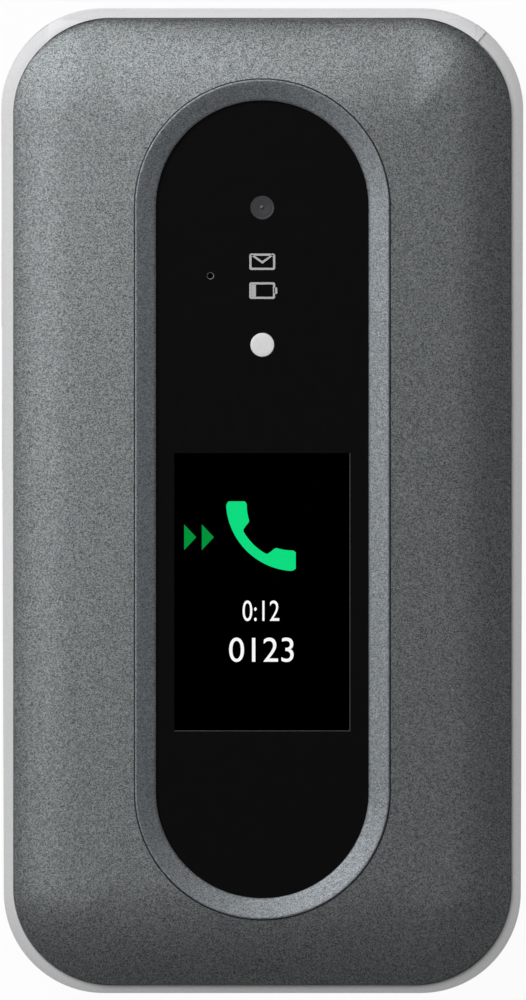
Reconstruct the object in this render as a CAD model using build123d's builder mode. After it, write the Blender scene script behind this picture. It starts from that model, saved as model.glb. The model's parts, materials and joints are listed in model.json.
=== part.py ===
"""Flip phone, closed and lying on its back.

Millimetres, +Z up through the lid, +Y towards the hinge, +X to the right.
The origin is under the middle of the phone, on the surface that it lies on.
"""

from build123d import *
import os

os.makedirs("parts", exist_ok=True)

# ---------------------------------------------------------------- body
LENGTH = 110.0
WIDTH = 57.95  # at mid-length
SIDE_TAPER = 0.0031  # half-width gained per millimetre towards the hinge
CORNER_RADIUS = 11.2
BASE_DEPTH = 10.3
LID_DEPTH = 8.9
LID_GAP = 0.3  # between the closed lid and the base
WALL = 1.2
FRAME_WALL = 1.9  # silver bands of the lid and of the base
FIT = 0.1  # between neighbours that are fixed together
SWING = 0.2  # between the lid and the hinge ears that it turns around

# ---------------------------------------------------------------- hinge
LID_END_RADIUS = 5.5  # round end of the lid, about the hinge axis
TRIM_RADIUS = 5.3
CORE_RADIUS = 3.9
EAR_RADIUS = 2.5
EAR_WEB_REACH = 3.6  # from the axis towards the free end
CRADLE_GAP = 0.3
RIM_SHOW = 0.3  # base rim seen past the hinge trim
EAR_WIDTH = 4.925  # at mid-length width
EAR_WEB_START = 2.1
EAR_WEB_DROP = 3.9  # where the web's slanting back ends, below the axis
PIN_RADIUS = 1.5
PIN_RUNNING_GAP = 0.05
PIN_SEAT = 1.35  # depth of the pin in its ear
PIN_REACH = 9.0  # depth of the pin in the lid's barrel
MODULE_RADIUS = 3.0
MODULE_WALL = 0.5
MODULE_LENGTH = 15.6
MODULE_NOSE = 0.8
CAM_RADIUS = 2.3
CAM_LENGTH = 1.4
SPRING_RADIUS = 2.2
SPRING_BORE = 1.5
FLEX_RADIUS = 2.4
FLEX_THICKNESS = 0.2
FLEX_WIDTH = 7.0
REAR_RIM_DROP = 0.7  # of the base's rear rim, below the base's top
CROSSBAR = 8.6  # width of the base in front of the hinge axis

# ---------------------------------------------------------------- lid
FRAME_DROP = 2.3  # from the lid's top to the silver band's top
FRAME_ROLL = 0.8
FRAME_OVER_EARS = 0.45  # thickness of the silver band above the hinge ears
TRIM_CUTS = ((-1, 32), (1, 39))  # side, and degrees round the corner from the hinge end
PANEL_SIDE_MARGIN = 1.225  # band beside the panel, at mid-length
PANEL_HINGE_MARGIN = 1.25
PANEL_FREE_MARGIN = 0.85
PANEL_RADIUS = 10.9
PANEL_DROP = 0.2  # from the ring's crest to the panel's top
PANEL_ROLL = 2.2
PANEL_SKIRT = 0.9  # panel edge below the top of the silver band
PANEL_WALL = 1.3
WINDOW_WIDTH = 23.7
WINDOW_HINGE_MARGIN = 9.22  # from the panel's hinge end to the window
WINDOW_FREE_MARGIN = 9.77  # from the panel's free end to the window
WINDOW_THICKNESS = 1.2
WINDOW_RECESS = 1.0  # below the ring's crest
RING_WIDTH = 2.37
RING_LEDGE = 1.0
RING_LEDGE_DEPTH = 0.7
RING_SLOPE = 0.9  # drop of the ring's face towards the window
RING_LIP = 0.15  # flat at the ring's outer edge
BACKPLATE = 1.2  # inner cover
POST_RADIUS = 2.2
POST_TO_SIDE = 4.975
POST_TO_FREE_END = 10.5
POST_TO_INNER_WINDOW = 5.0

# ---------------------------------------------------------------- lid, inside
CAMERA_TO_WINDOW_END = 11.93  # camera centre from the window's hinge end
CAMERA_GLASS_RADIUS = 1.35
CAMERA_BARREL_RADIUS = 3.1
CAMERA_CORNER = 0.6
FLASH_TO_CAMERA = 15.3
FLASH_RADIUS = 1.35
ICON_TO_CAMERA = 7.6
ICON_SPAN_X = 3.2
ICON_SPAN_Y = 5.8
ICON_CORNER = 0.4
MIC_X = -5.79
MIC_RADIUS = 0.4
OUTER_DISPLAY_WIDTH = 19.6
OUTER_DISPLAY_LENGTH = 31.0
OUTER_DISPLAY_TO_FLASH = 12.07
OUTER_DISPLAY_THICKNESS = 1.8
OUTER_DISPLAY_CORNER = 0.4
INNER_WINDOW_SIDE_MARGIN = 5.475
INNER_WINDOW_THICKNESS = 0.7
INNER_WINDOW_RECESS = 0.15
INNER_WINDOW_LEDGE = 1.2
INNER_WINDOW_TO_FREE_END = 18.5
INNER_WINDOW_TO_HINGE_END = 26.5
INNER_WINDOW_CORNER = 2.0
LEDGE_CORNER = 0.6
INNER_DISPLAY_CORNER = 0.8
INNER_DISPLAY_THICKNESS = 1.8
LID_BOARD_THICKNESS = 0.8
LID_BOARD_SIDE_INSET = 2.5  # from the inner window's sides
BOARD_CORNER = 1.5
LID_BOARD_END_GAP = 4.0
EARPIECE_WIDTH = 13.0
EARPIECE_HEIGHT = 6.0
EARPIECE_TO_FREE_END = 10.5
EARPIECE_CORNER = 1.2
EARPIECE_SLOT_WIDTH = 10.0
EARPIECE_SLOT_HEIGHT = 1.6
BUMPER_RADIUS = 1.5
BUMPER_X_INSET = 6.0
BUMPER_TO_FREE_END = 3.7
MAGNET_LENGTH = 6.0
MAGNET_WIDTH = 3.0
MAGNET_THICKNESS = 1.5
MAGNET_X = -12.0
SMALL_CORNER = 0.3  # of the magnet and the microphones
SCREW_HEAD_RADIUS = 1.4
SCREW_HEAD_HEIGHT = 0.7
SCREW_RADIUS = 0.7
SCREW_LENGTH = 4.0

# ---------------------------------------------------------------- base
HOUSING_DEPTH = 7.1  # dark rear housing, below the silver band
COVER_DEPTH = 2.5  # battery cover, a shallow tray
BACK_ROLL = 2.2
COVER_SPLIT = 20.0  # from the hinge end to the cover's edge
COVER_GAP = 0.12
GRIP_GROOVES = 5
GRIP_LENGTH = 14.0
GRIP_WIDTH = 0.8
GRIP_PITCH = 1.7
GRIP_DEPTH = 0.4
GRIP_TO_SPLIT = 7.0  # from the cover's edge to the middle groove
TRAY_FLOOR = 1.2
TUB_FLOOR = 3.4
BATTERY_SIDE_ROOM = 11.975
BATTERY_END_ROOM = 60.0  # of the phone's length, both ends together
BATTERY_THICKNESS = 4.5
BATTERY_TO_SPLIT = 10.0
BATTERY_GAP = 0.3
BATTERY_CORNER = 1.5
BATTERY_EDGE = 0.6
BAY_WALL = 1.0
BAY_FLOOR = 0.7
BAY_CORNER = 1.0
SIM_LENGTH = 14.0
SIM_WIDTH = 16.0
SIM_THICKNESS = 1.4
SIM_CORNER = 0.8
BOARD_LIFT = 0.15
BOARD_THICKNESS = 0.8
BOARD_INSET = 3.4
DOME_SHEET = 0.3
DECK_THICKNESS = 1.0
BASE_POST_RADIUS = 1.5
BASE_POST_TO_SIDE = 13.975
LOWER_POST_TO_FREE_END = 3.7

# ---------------------------------------------------------------- keys
KEY_GAP = 0.15
KEY_TRAVEL = 0.3
KEY_TOP_GAP = 0.1  # below the closed lid
KEY_FLANGE = 0.5
KEY_FLANGE_HEIGHT = 0.4
KEY_EDGE = 0.35
KEY_STEM_RADIUS = 1.2
KEYPAD_SIDE_MARGIN = 4.075
KEYPAD_FREE_MARGIN = 6.2
KEYPAD_CROSSBAR_MARGIN = 10.1
COLUMN_SPACE = 1.8
ROW_SPACE = 2.4
DIGIT_RADIUS = 3.0
NAVIGATION_SIZE = 21.5
NAVIGATION_RADIUS = 7.0
NAVIGATION_SPACE = 3.0  # to the digits
SELECT_RADIUS = 4.6
CALL_SPACE = 2.15  # to the navigation key
CALL_HEIGHT = 19.0
CALL_RADIUS = 4.5
SOFT_SPACE = 5.0  # between the two soft keys
SOFT_SIDE_INSET = 1.4
SOFT_HEIGHT = 7.0
SOFT_RADIUS = 3.0
SOFT_TO_NAVIGATION = 2.4
SIDE_KEY_HEIGHT = 1.5
SIDE_KEY_PROUD = 0.12
SIDE_KEY_FLANGE = 0.4
SIDE_KEY_Z = 8.3
VOLUME_UP_LENGTH = 10.3
VOLUME_DOWN_LENGTH = 10.7
VOLUME_UP_TO_HINGE_END = 30.65
VOLUME_PITCH = 15.9

# ---------------------------------------------------------------- sockets and small parts
USB_MOUTH_WIDTH = 9.0
USB_MOUTH_HEIGHT = 3.2
USB_WALL = 0.3
USB_DEPTH = 7.4
USB_TONGUE_WIDTH = 6.3
USB_TONGUE_THICKNESS = 0.6
USB_TOP_GAP = 0.1  # under the main board
CONTACT_RADIUS = 0.9
CONTACT_X = 9.5
SPEAKER_WIDTH = 15.0
SPEAKER_HEIGHT = 11.0
SPEAKER_THICKNESS = 3.0
SPEAKER_X = -10.0
SPEAKER_TO_SPLIT = 7.5
SPEAKER_CORNER = 2.0
SPEAKER_SLOT = 8.0
SPEAKER_SLOT_WIDTH = 0.9
SPEAKER_SLOT_PITCH = 2.0
SPEAKER_SLOTS = 3
MOTOR_RADIUS = 1.55
MOTOR_LENGTH = 9.0
MOTOR_X = 12.0
MIC_BODY = 3.0
DECK_MIC_TO_FREE_END = 4.0
ANTENNA_WIDTH = 34.0
ANTENNA_LENGTH = 5.0
ANTENNA_THICKNESS = 1.4
ANTENNA_TO_FREE_END = 11.0
ANTENNA_CORNER = 1.0

# ---------------------------------------------------------------- levels and places worked out
LID_BOTTOM = BASE_DEPTH + LID_GAP
LID_TOP = LID_BOTTOM + LID_DEPTH
FRAME_TOP = LID_TOP - FRAME_DROP
PANEL_TOP = LID_TOP - PANEL_DROP
PANEL_BOTTOM = FRAME_TOP - PANEL_SKIRT
OVER_EARS_BOTTOM = FRAME_TOP - FRAME_OVER_EARS
AXIS_Z = LID_TOP - LID_END_RADIUS
AXIS_Y = LENGTH / 2 - RIM_SHOW - TRIM_RADIUS
HINGE_END = LENGTH / 2
FREE_END = -LENGTH / 2
CRADLE_RADIUS = LID_END_RADIUS + CRADLE_GAP
CROSSBAR_Y = AXIS_Y - CROSSBAR
EAR_INNER_X = WIDTH / 2 - EAR_WIDTH
BARREL_HALF = EAR_INNER_X - SWING
PIN_TIP_X = EAR_INNER_X + PIN_SEAT

PANEL_WIDTH = WIDTH - 2 * PANEL_SIDE_MARGIN
PANEL_LENGTH = LENGTH - PANEL_HINGE_MARGIN - PANEL_FREE_MARGIN
PANEL_Y = (PANEL_FREE_MARGIN - PANEL_HINGE_MARGIN) / 2
WINDOW_LENGTH = PANEL_LENGTH - WINDOW_HINGE_MARGIN - WINDOW_FREE_MARGIN
WINDOW_Y = PANEL_Y + (WINDOW_FREE_MARGIN - WINDOW_HINGE_MARGIN) / 2
WINDOW_TOP = LID_TOP - WINDOW_RECESS
WINDOW_BOTTOM = WINDOW_TOP - WINDOW_THICKNESS
RING_BOTTOM = WINDOW_BOTTOM - RING_LEDGE_DEPTH
CAMERA_Y = WINDOW_Y + WINDOW_LENGTH / 2 - CAMERA_TO_WINDOW_END
FLASH_Y = CAMERA_Y - FLASH_TO_CAMERA
ICON_Y = CAMERA_Y - ICON_TO_CAMERA
OUTER_DISPLAY_Y = FLASH_Y - OUTER_DISPLAY_TO_FLASH - OUTER_DISPLAY_LENGTH / 2
INNER_WINDOW_WIDTH = WIDTH - 2 * INNER_WINDOW_SIDE_MARGIN
INNER_WINDOW_LENGTH = LENGTH - INNER_WINDOW_TO_FREE_END - INNER_WINDOW_TO_HINGE_END
INNER_WINDOW_Y = (INNER_WINDOW_TO_FREE_END - INNER_WINDOW_TO_HINGE_END) / 2
INNER_WINDOW_BOTTOM = LID_BOTTOM + INNER_WINDOW_RECESS
INNER_WINDOW_TOP = INNER_WINDOW_BOTTOM + INNER_WINDOW_THICKNESS
INNER_DISPLAY_TOP = INNER_WINDOW_TOP + INNER_DISPLAY_THICKNESS
LID_BOARD_BOTTOM = INNER_DISPLAY_TOP + FIT
LID_BOARD_TOP = LID_BOARD_BOTTOM + LID_BOARD_THICKNESS
LID_BOARD_WIDTH = INNER_WINDOW_WIDTH - 2 * LID_BOARD_SIDE_INSET
LID_BOARD_HINGE_END = AXIS_Y - CORE_RADIUS - LID_BOARD_END_GAP
LID_BOARD_FREE_END = FREE_END + EARPIECE_TO_FREE_END + EARPIECE_HEIGHT / 2 + FIT
EARPIECE_Y = FREE_END + EARPIECE_TO_FREE_END
BACKPLATE_TOP = LID_BOTTOM + BACKPLATE
POST_X = WIDTH / 2 - POST_TO_SIDE
POST_YS = (FREE_END + POST_TO_FREE_END, HINGE_END - INNER_WINDOW_TO_HINGE_END + POST_TO_INNER_WINDOW)

SPLIT_Y = HINGE_END - COVER_SPLIT
BATTERY_WIDTH = WIDTH - 2 * BATTERY_SIDE_ROOM
BATTERY_LENGTH = LENGTH - BATTERY_END_ROOM
BATTERY_BOTTOM = TRAY_FLOOR + FIT
BATTERY_TOP = BATTERY_BOTTOM + BATTERY_THICKNESS
BATTERY_Y = SPLIT_Y - BATTERY_TO_SPLIT - BATTERY_LENGTH / 2
BAY_TOP = BATTERY_TOP + FIT + BAY_FLOOR
BAY_LENGTH = BATTERY_LENGTH + SIM_LENGTH + 3 * BATTERY_GAP
BAY_WIDTH = BATTERY_WIDTH + 2 * BATTERY_GAP
BAY_Y = BATTERY_Y + BATTERY_LENGTH / 2 + BATTERY_GAP - BAY_LENGTH / 2
SIM_Y = BATTERY_Y - BATTERY_LENGTH / 2 - BATTERY_GAP - SIM_LENGTH / 2
BOARD_BOTTOM = BAY_TOP + BOARD_LIFT
BOARD_TOP = BOARD_BOTTOM + BOARD_THICKNESS
SHEET_TOP = BOARD_TOP + DOME_SHEET
DECK_BOTTOM = BASE_DEPTH - DECK_THICKNESS
DECK_HINGE_END = CROSSBAR_Y - FIT
BOARD_HINGE_END = CROSSBAR_Y - FIT

KEY_TOP = LID_BOTTOM - KEY_TOP_GAP
KEY_STEM_BOTTOM = SHEET_TOP + KEY_TRAVEL + FIT / 2
KEYPAD_WIDTH = WIDTH - 2 * KEYPAD_SIDE_MARGIN
KEYPAD_END_Y = CROSSBAR_Y - KEYPAD_CROSSBAR_MARGIN
SOFT_Y = KEYPAD_END_Y - SOFT_HEIGHT / 2
SOFT_WIDTH = KEYPAD_WIDTH / 2 - SOFT_SPACE / 2 - SOFT_SIDE_INSET
SOFT_X = SOFT_SPACE / 2 + SOFT_WIDTH / 2
NAVIGATION_Y = SOFT_Y - SOFT_HEIGHT / 2 - SOFT_TO_NAVIGATION - NAVIGATION_SIZE / 2
CALL_WIDTH = KEYPAD_WIDTH / 2 - NAVIGATION_SIZE / 2 - CALL_SPACE
CALL_X = KEYPAD_WIDTH / 2 - CALL_WIDTH / 2
DIGITS_START_Y = FREE_END + KEYPAD_FREE_MARGIN
DIGITS_END_Y = NAVIGATION_Y - NAVIGATION_SIZE / 2 - NAVIGATION_SPACE
DIGIT_WIDTH = (KEYPAD_WIDTH - 2 * COLUMN_SPACE) / 3
DIGIT_HEIGHT = (DIGITS_END_Y - DIGITS_START_Y - 3 * ROW_SPACE) / 4
VOLUME_UP_Y = HINGE_END - VOLUME_UP_TO_HINGE_END
VOLUME_DOWN_Y = VOLUME_UP_Y - VOLUME_PITCH
USB_TOP = BOARD_BOTTOM - USB_TOP_GAP
USB_Z = USB_TOP - USB_WALL - USB_MOUTH_HEIGHT / 2
SPEAKER_Y = SPLIT_Y + SPEAKER_TO_SPLIT
DECK_MIC_Y = FREE_END + DECK_MIC_TO_FREE_END
UPPER_POST_Y = SOFT_Y + SOFT_HEIGHT / 2 + KEY_FLANGE + BASE_POST_RADIUS + FIT
LOWER_POST_Y = FREE_END + LOWER_POST_TO_FREE_END
BASE_POST_X = WIDTH / 2 - BASE_POST_TO_SIDE


# ---------------------------------------------------------------- shared shapes
def half_width(y):
    """Half the phone's width at y."""
    return WIDTH / 2 + SIDE_TAPER * y


def outline(height, inset=0.0, hinge_inset=0.0, y_limit=None):
    """The phone's outline at a height, drawn in by inset, and cut off past y_limit."""
    top = HINGE_END - inset - hinge_inset
    bottom = FREE_END + inset
    top_x = half_width(top) - inset
    bottom_x = half_width(bottom) - inset
    with BuildSketch(Plane.XY.offset(height)) as sketch:
        with BuildLine():
            Polyline((-bottom_x, bottom), (bottom_x, bottom), (top_x, top), (-top_x, top), close=True)
        make_face()
        fillet(sketch.vertices(), CORNER_RADIUS - inset)
        if y_limit is not None:
            with Locations((0, y_limit)):
                Rectangle(2 * WIDTH, 2 * LENGTH, align=(Align.CENTER, Align.MAX), mode=Mode.INTERSECT)
    return sketch.sketch


def rounded_rectangle(height, width, length, radius, x=0.0, y=0.0):
    """A rounded rectangle centred on (x, y) at a height."""
    with BuildSketch(Plane.XY.offset(height)) as sketch:
        with Locations((x, y)):
            RectangleRounded(width, length, radius)
    return sketch.sketch


def panel_outline(height, grow=0.0):
    """The dark panel's outline, grown on every side."""
    return rounded_rectangle(
        height, PANEL_WIDTH + 2 * grow, PANEL_LENGTH + 2 * grow, PANEL_RADIUS + grow, y=PANEL_Y
    )


def window_outline(height, grow=0.0):
    """The round-ended window's outline, grown on every side."""
    with BuildSketch(Plane.XY.offset(height)) as sketch:
        with Locations((0, WINDOW_Y)):
            SlotOverall(WINDOW_LENGTH + 2 * grow, WINDOW_WIDTH + 2 * grow, rotation=90)
    return sketch.sketch


def disc(height, radius, x=0.0, y=0.0):
    """A circle centred on (x, y) at a height."""
    with BuildSketch(Plane.XY.offset(height)) as sketch:
        with Locations((x, y)):
            Circle(radius)
    return sketch.sketch


def block(x_range, y_range, z_range):
    """A plain block between the given limits."""
    with BuildPart(Location((x_range[0], y_range[0], z_range[0]))) as part:
        Box(
            x_range[1] - x_range[0],
            y_range[1] - y_range[0],
            z_range[1] - z_range[0],
            align=(Align.MIN, Align.MIN, Align.MIN),
        )
    return part.part


def hinge_cylinder(radius, x_start, x_end, bore=0.0):
    """A cylinder or tube about the hinge axis."""
    with BuildPart() as part:
        with BuildSketch(Plane.YZ.offset(x_start)):
            with Locations((AXIS_Y, AXIS_Z)):
                Circle(radius)
                if bore:
                    Circle(bore, mode=Mode.SUBTRACT)
        extrude(amount=x_end - x_start)
    return part.part


def past_round_end():
    """What the lid's round end leaves out: everything past the axis and outside its radius."""
    with BuildPart() as part:
        add(block((-WIDTH, WIDTH), (AXIS_Y, LENGTH), (LID_BOTTOM - LID_DEPTH, LID_TOP + LID_DEPTH)))
        add(hinge_cylinder(LID_END_RADIUS, -2 * WIDTH, 2 * WIDTH), mode=Mode.SUBTRACT)
    return part.part


def ear_room():
    """The space in the lid for both hinge ears and their webs."""
    web = AXIS_Y - EAR_WEB_REACH - SWING
    with BuildPart() as part:
        for x_start, x_end in ((-WIDTH, -BARREL_HALF), (BARREL_HALF, WIDTH)):
            add(hinge_cylinder(EAR_RADIUS + SWING, x_start, x_end))
            add(block((x_start, x_end), (web, HINGE_END), (LID_BOTTOM - LID_DEPTH, AXIS_Z)))
    return part.part


def ear_web(x_start, x_end):
    """The web that carries a hinge ear, with a back that the open lid's corner clears."""
    front = AXIS_Y - EAR_WEB_REACH
    back = AXIS_Y - EAR_WEB_START
    foot = BASE_DEPTH - WALL
    top = AXIS_Z - SWING
    with BuildPart() as part:
        with BuildSketch(Plane.YZ.offset(x_start)):
            with BuildLine():
                Polyline(
                    (front, foot), (front, top), (AXIS_Y, top), (back, AXIS_Z - EAR_WEB_DROP), (back, foot),
                    close=True,
                )
            make_face()
        extrude(amount=x_end - x_start)
    return part.part


def beside_trim():
    """The space above the hinge ears, past the cuts at both ends of the hinge trim."""
    centre_y = HINGE_END - RIM_SHOW - CORNER_RADIUS
    reach = 2 * CORNER_RADIUS
    with BuildPart() as part:
        for side, angle in TRIM_CUTS:
            start = Vector(side * (half_width(HINGE_END) - CORNER_RADIUS), centre_y)
            end = start + Vector(0, reach).rotate(Axis.Z, -side * angle)
            far_x = side * WIDTH
            with BuildSketch(Plane.XY.offset(OVER_EARS_BOTTOM)):
                with BuildLine():
                    Polyline((start.X, start.Y), (end.X, end.Y), (far_x, end.Y), (far_x, start.Y), close=True)
                make_face()
        extrude(amount=LID_DEPTH)
    return part.part


def trim_room():
    """The space between those cuts, from the hinge axis on."""
    with BuildPart() as part:
        add(block((-WIDTH, WIDTH), (AXIS_Y, LENGTH), (OVER_EARS_BOTTOM, OVER_EARS_BOTTOM + LID_DEPTH)))
        add(BESIDE_TRIM, mode=Mode.SUBTRACT)
    return part.part


def band_limit():
    """The space up to the silver band's rolled top edge."""
    with BuildPart() as part:
        extrude(outline(0, hinge_inset=RIM_SHOW), amount=FRAME_TOP)
        fillet(part.faces().sort_by(Axis.Z)[-1].edges(), FRAME_ROLL)
    return part.part


def hinge_barrel():
    """The lid's barrel between the ears, drawn in under the panel's corners and the hinge trim."""
    with BuildPart() as part:
        extrude(outline(0, inset=WALL, hinge_inset=RIM_SHOW), amount=PANEL_BOTTOM - FIT)
        extrude(panel_outline(0, -PANEL_WALL), amount=LID_TOP)
        add(hinge_cylinder(CORE_RADIUS, -BARREL_HALF, BARREL_HALF), mode=Mode.INTERSECT)
    return part.part


def cradle_past_web(x_start, x_end):
    """The hinge-end half of the cradle beside the ears, where only the lid's corners sweep."""
    with BuildPart() as part:
        add(hinge_cylinder(CRADLE_RADIUS, x_start, x_end))
        add(
            block((-2 * WIDTH, 2 * WIDTH), (0, AXIS_Y - EAR_WEB_START), (0, 2 * LID_TOP)),
            mode=Mode.SUBTRACT,
        )
    return part.part


def save(builder, name):
    """Labels a finished piece and writes its file."""
    builder.part.label = name
    export_step(builder.part, f"parts/{name}.step")


SWING_RELIEF = past_round_end()
EAR_ROOM = ear_room()
BAND_LIMIT = band_limit()
BESIDE_TRIM = beside_trim()
TRIM_ROOM = trim_room()
HINGE_BARREL = hinge_barrel()
POST_PLACES = [(x, y) for x in (-POST_X, POST_X) for y in POST_YS]
BASE_SCREW_PLACES = [(x, y) for x in (-BASE_POST_X, BASE_POST_X) for y in (LOWER_POST_Y, UPPER_POST_Y)]

# ================================================================ lid, outside

with BuildPart() as lid_frame:
    extrude(outline(LID_BOTTOM, hinge_inset=RIM_SHOW), amount=FRAME_TOP - LID_BOTTOM)
    fillet(lid_frame.faces().sort_by(Axis.Z)[-1].edges(), FRAME_ROLL)
    extrude(outline(LID_BOTTOM, inset=FRAME_WALL), amount=LID_DEPTH, mode=Mode.SUBTRACT)
    extrude(panel_outline(PANEL_BOTTOM - FIT, FIT), amount=LID_DEPTH, mode=Mode.SUBTRACT)
    add(EAR_ROOM, mode=Mode.SUBTRACT)
    add(block((-WIDTH, WIDTH), (AXIS_Y, LENGTH), (0, OVER_EARS_BOTTOM)), mode=Mode.SUBTRACT)
    add(TRIM_ROOM, mode=Mode.SUBTRACT)
save(lid_frame, "lid_frame")

with BuildPart() as lid_outer_cover:
    extrude(panel_outline(PANEL_BOTTOM), amount=PANEL_TOP - PANEL_BOTTOM)
    fillet(lid_outer_cover.faces().sort_by(Axis.Z)[-1].edges(), PANEL_ROLL)
    extrude(
        panel_outline(PANEL_BOTTOM, -PANEL_WALL),
        amount=PANEL_TOP - PANEL_WALL - PANEL_BOTTOM,
        mode=Mode.SUBTRACT,
    )
    extrude(window_outline(PANEL_BOTTOM, RING_WIDTH + FIT), amount=LID_DEPTH, mode=Mode.SUBTRACT)
    for place in POST_PLACES:
        extrude(disc(BACKPLATE_TOP, POST_RADIUS, *place), amount=PANEL_TOP - PANEL_WALL - BACKPLATE_TOP)
    add(SWING_RELIEF, mode=Mode.SUBTRACT)
    add(hinge_cylinder(CORE_RADIUS + FIT, -BARREL_HALF, BARREL_HALF), mode=Mode.SUBTRACT)
    add(EAR_ROOM, mode=Mode.SUBTRACT)
    with Locations([Location((x, y, BACKPLATE_TOP), (180, 0, 0)) for x, y in POST_PLACES]):
        Hole(SCREW_RADIUS, depth=SCREW_LENGTH)
save(lid_outer_cover, "lid_outer_cover")

with BuildPart() as window_bezel_ring:
    extrude(window_outline(RING_BOTTOM, RING_WIDTH), amount=LID_TOP - RING_BOTTOM)
    with BuildSketch(Plane.XY.offset(LID_TOP)) as crest:
        add(window_outline(LID_TOP, RING_WIDTH - RING_LIP))
    with BuildSketch(Plane.XY.offset(LID_TOP - RING_SLOPE)) as foot:
        add(window_outline(LID_TOP - RING_SLOPE, FIT))
    loft(mode=Mode.SUBTRACT, ruled=True)
    extrude(window_outline(WINDOW_BOTTOM, FIT), amount=LID_DEPTH, mode=Mode.SUBTRACT)
    extrude(window_outline(RING_BOTTOM, -RING_LEDGE), amount=LID_DEPTH, mode=Mode.SUBTRACT)
save(window_bezel_ring, "window_bezel_ring")

with BuildPart() as outer_window:
    extrude(window_outline(WINDOW_BOTTOM), amount=WINDOW_THICKNESS)
    extrude(disc(WINDOW_BOTTOM, CAMERA_GLASS_RADIUS, y=CAMERA_Y), amount=WINDOW_THICKNESS, mode=Mode.SUBTRACT)
    extrude(disc(WINDOW_BOTTOM, FLASH_RADIUS, y=FLASH_Y), amount=WINDOW_THICKNESS, mode=Mode.SUBTRACT)
    extrude(disc(WINDOW_BOTTOM, MIC_RADIUS, x=MIC_X, y=ICON_Y), amount=WINDOW_THICKNESS, mode=Mode.SUBTRACT)
save(outer_window, "outer_window")

with BuildPart() as hinge_trim:
    add(hinge_cylinder(TRIM_RADIUS, -WIDTH / 2, WIDTH / 2))
    add(BAND_LIMIT, mode=Mode.INTERSECT)
    for x_range in ((-WIDTH, -BARREL_HALF), (BARREL_HALF, WIDTH)):
        add(block(x_range, (0, LENGTH), (0, OVER_EARS_BOTTOM)), mode=Mode.SUBTRACT)
    add(BESIDE_TRIM, mode=Mode.SUBTRACT)
    add(HINGE_BARREL, mode=Mode.SUBTRACT)
    add(hinge_cylinder(MODULE_RADIUS + FIT, -BARREL_HALF, BARREL_HALF), mode=Mode.SUBTRACT)
    add(block((-WIDTH, WIDTH), (0, AXIS_Y), (0, 2 * LID_TOP)), mode=Mode.SUBTRACT)
    extrude(panel_outline(PANEL_BOTTOM - FIT, FIT), amount=LID_DEPTH, mode=Mode.SUBTRACT)
save(hinge_trim, "hinge_trim")

# ================================================================ lid, inside

with BuildPart() as lid_inner_cover:
    extrude(outline(LID_BOTTOM, inset=FRAME_WALL, y_limit=AXIS_Y), amount=BACKPLATE)
    add(EAR_ROOM, mode=Mode.SUBTRACT)
    add(HINGE_BARREL)
    extrude(
        rounded_rectangle(
            LID_BOTTOM,
            INNER_WINDOW_WIDTH + FIT,
            INNER_WINDOW_LENGTH + FIT,
            INNER_WINDOW_CORNER,
            y=INNER_WINDOW_Y,
        ),
        amount=INNER_WINDOW_TOP - LID_BOTTOM,
        mode=Mode.SUBTRACT,
    )
    extrude(
        rounded_rectangle(
            LID_BOTTOM,
            INNER_WINDOW_WIDTH - 2 * INNER_WINDOW_LEDGE + FIT,
            INNER_WINDOW_LENGTH - 2 * INNER_WINDOW_LEDGE + FIT,
            LEDGE_CORNER,
            y=INNER_WINDOW_Y,
        ),
        amount=BACKPLATE,
        mode=Mode.SUBTRACT,
    )
    with BuildSketch(Plane.XY.offset(LID_BOTTOM)):
        with Locations((0, EARPIECE_Y)):
            SlotOverall(EARPIECE_SLOT_WIDTH, EARPIECE_SLOT_HEIGHT)
    extrude(amount=BACKPLATE, mode=Mode.SUBTRACT)
    extrude(window_outline(RING_BOTTOM - FIT, RING_WIDTH + FIT), amount=LID_DEPTH, mode=Mode.SUBTRACT)
    add(hinge_cylinder(MODULE_RADIUS, -BARREL_HALF, -BARREL_HALF + MODULE_LENGTH), mode=Mode.SUBTRACT)
    add(
        hinge_cylinder(PIN_RADIUS + PIN_RUNNING_GAP, BARREL_HALF - PIN_REACH - SWING, BARREL_HALF),
        mode=Mode.SUBTRACT,
    )
    add(hinge_cylinder(FLEX_RADIUS + FIT, -SWING, FLEX_WIDTH + SWING), mode=Mode.SUBTRACT)
    add(
        block(
            (0, FLEX_WIDTH),
            (AXIS_Y - CORE_RADIUS - FIT, AXIS_Y),
            (AXIS_Z - FLEX_THICKNESS, AXIS_Z + FLEX_THICKNESS),
        ),
        mode=Mode.SUBTRACT,
    )
    with Locations([(x, y, BACKPLATE_TOP) for x, y in POST_PLACES]):
        Hole(SCREW_RADIUS + FIT / 2, depth=BACKPLATE)
    with Locations([Location((x, y, LID_BOTTOM), (180, 0, 0)) for x, y in POST_PLACES]):
        Hole(SCREW_HEAD_RADIUS + FIT / 2, depth=SCREW_HEAD_HEIGHT)
save(lid_inner_cover, "lid_inner_cover")

with BuildPart() as lid_screws:
    for place in POST_PLACES:
        extrude(disc(LID_BOTTOM + FIT / 2, SCREW_HEAD_RADIUS, *place), amount=SCREW_HEAD_HEIGHT - FIT / 2)
        extrude(
            disc(LID_BOTTOM + SCREW_HEAD_HEIGHT, SCREW_RADIUS, *place),
            amount=BACKPLATE - SCREW_HEAD_HEIGHT + SCREW_LENGTH,
        )
save(lid_screws, "lid_screws")

with BuildPart() as inner_window:
    extrude(
        rounded_rectangle(
            INNER_WINDOW_BOTTOM,
            INNER_WINDOW_WIDTH,
            INNER_WINDOW_LENGTH,
            INNER_WINDOW_CORNER,
            y=INNER_WINDOW_Y,
        ),
        amount=INNER_WINDOW_THICKNESS,
    )
save(inner_window, "inner_window")

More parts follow.
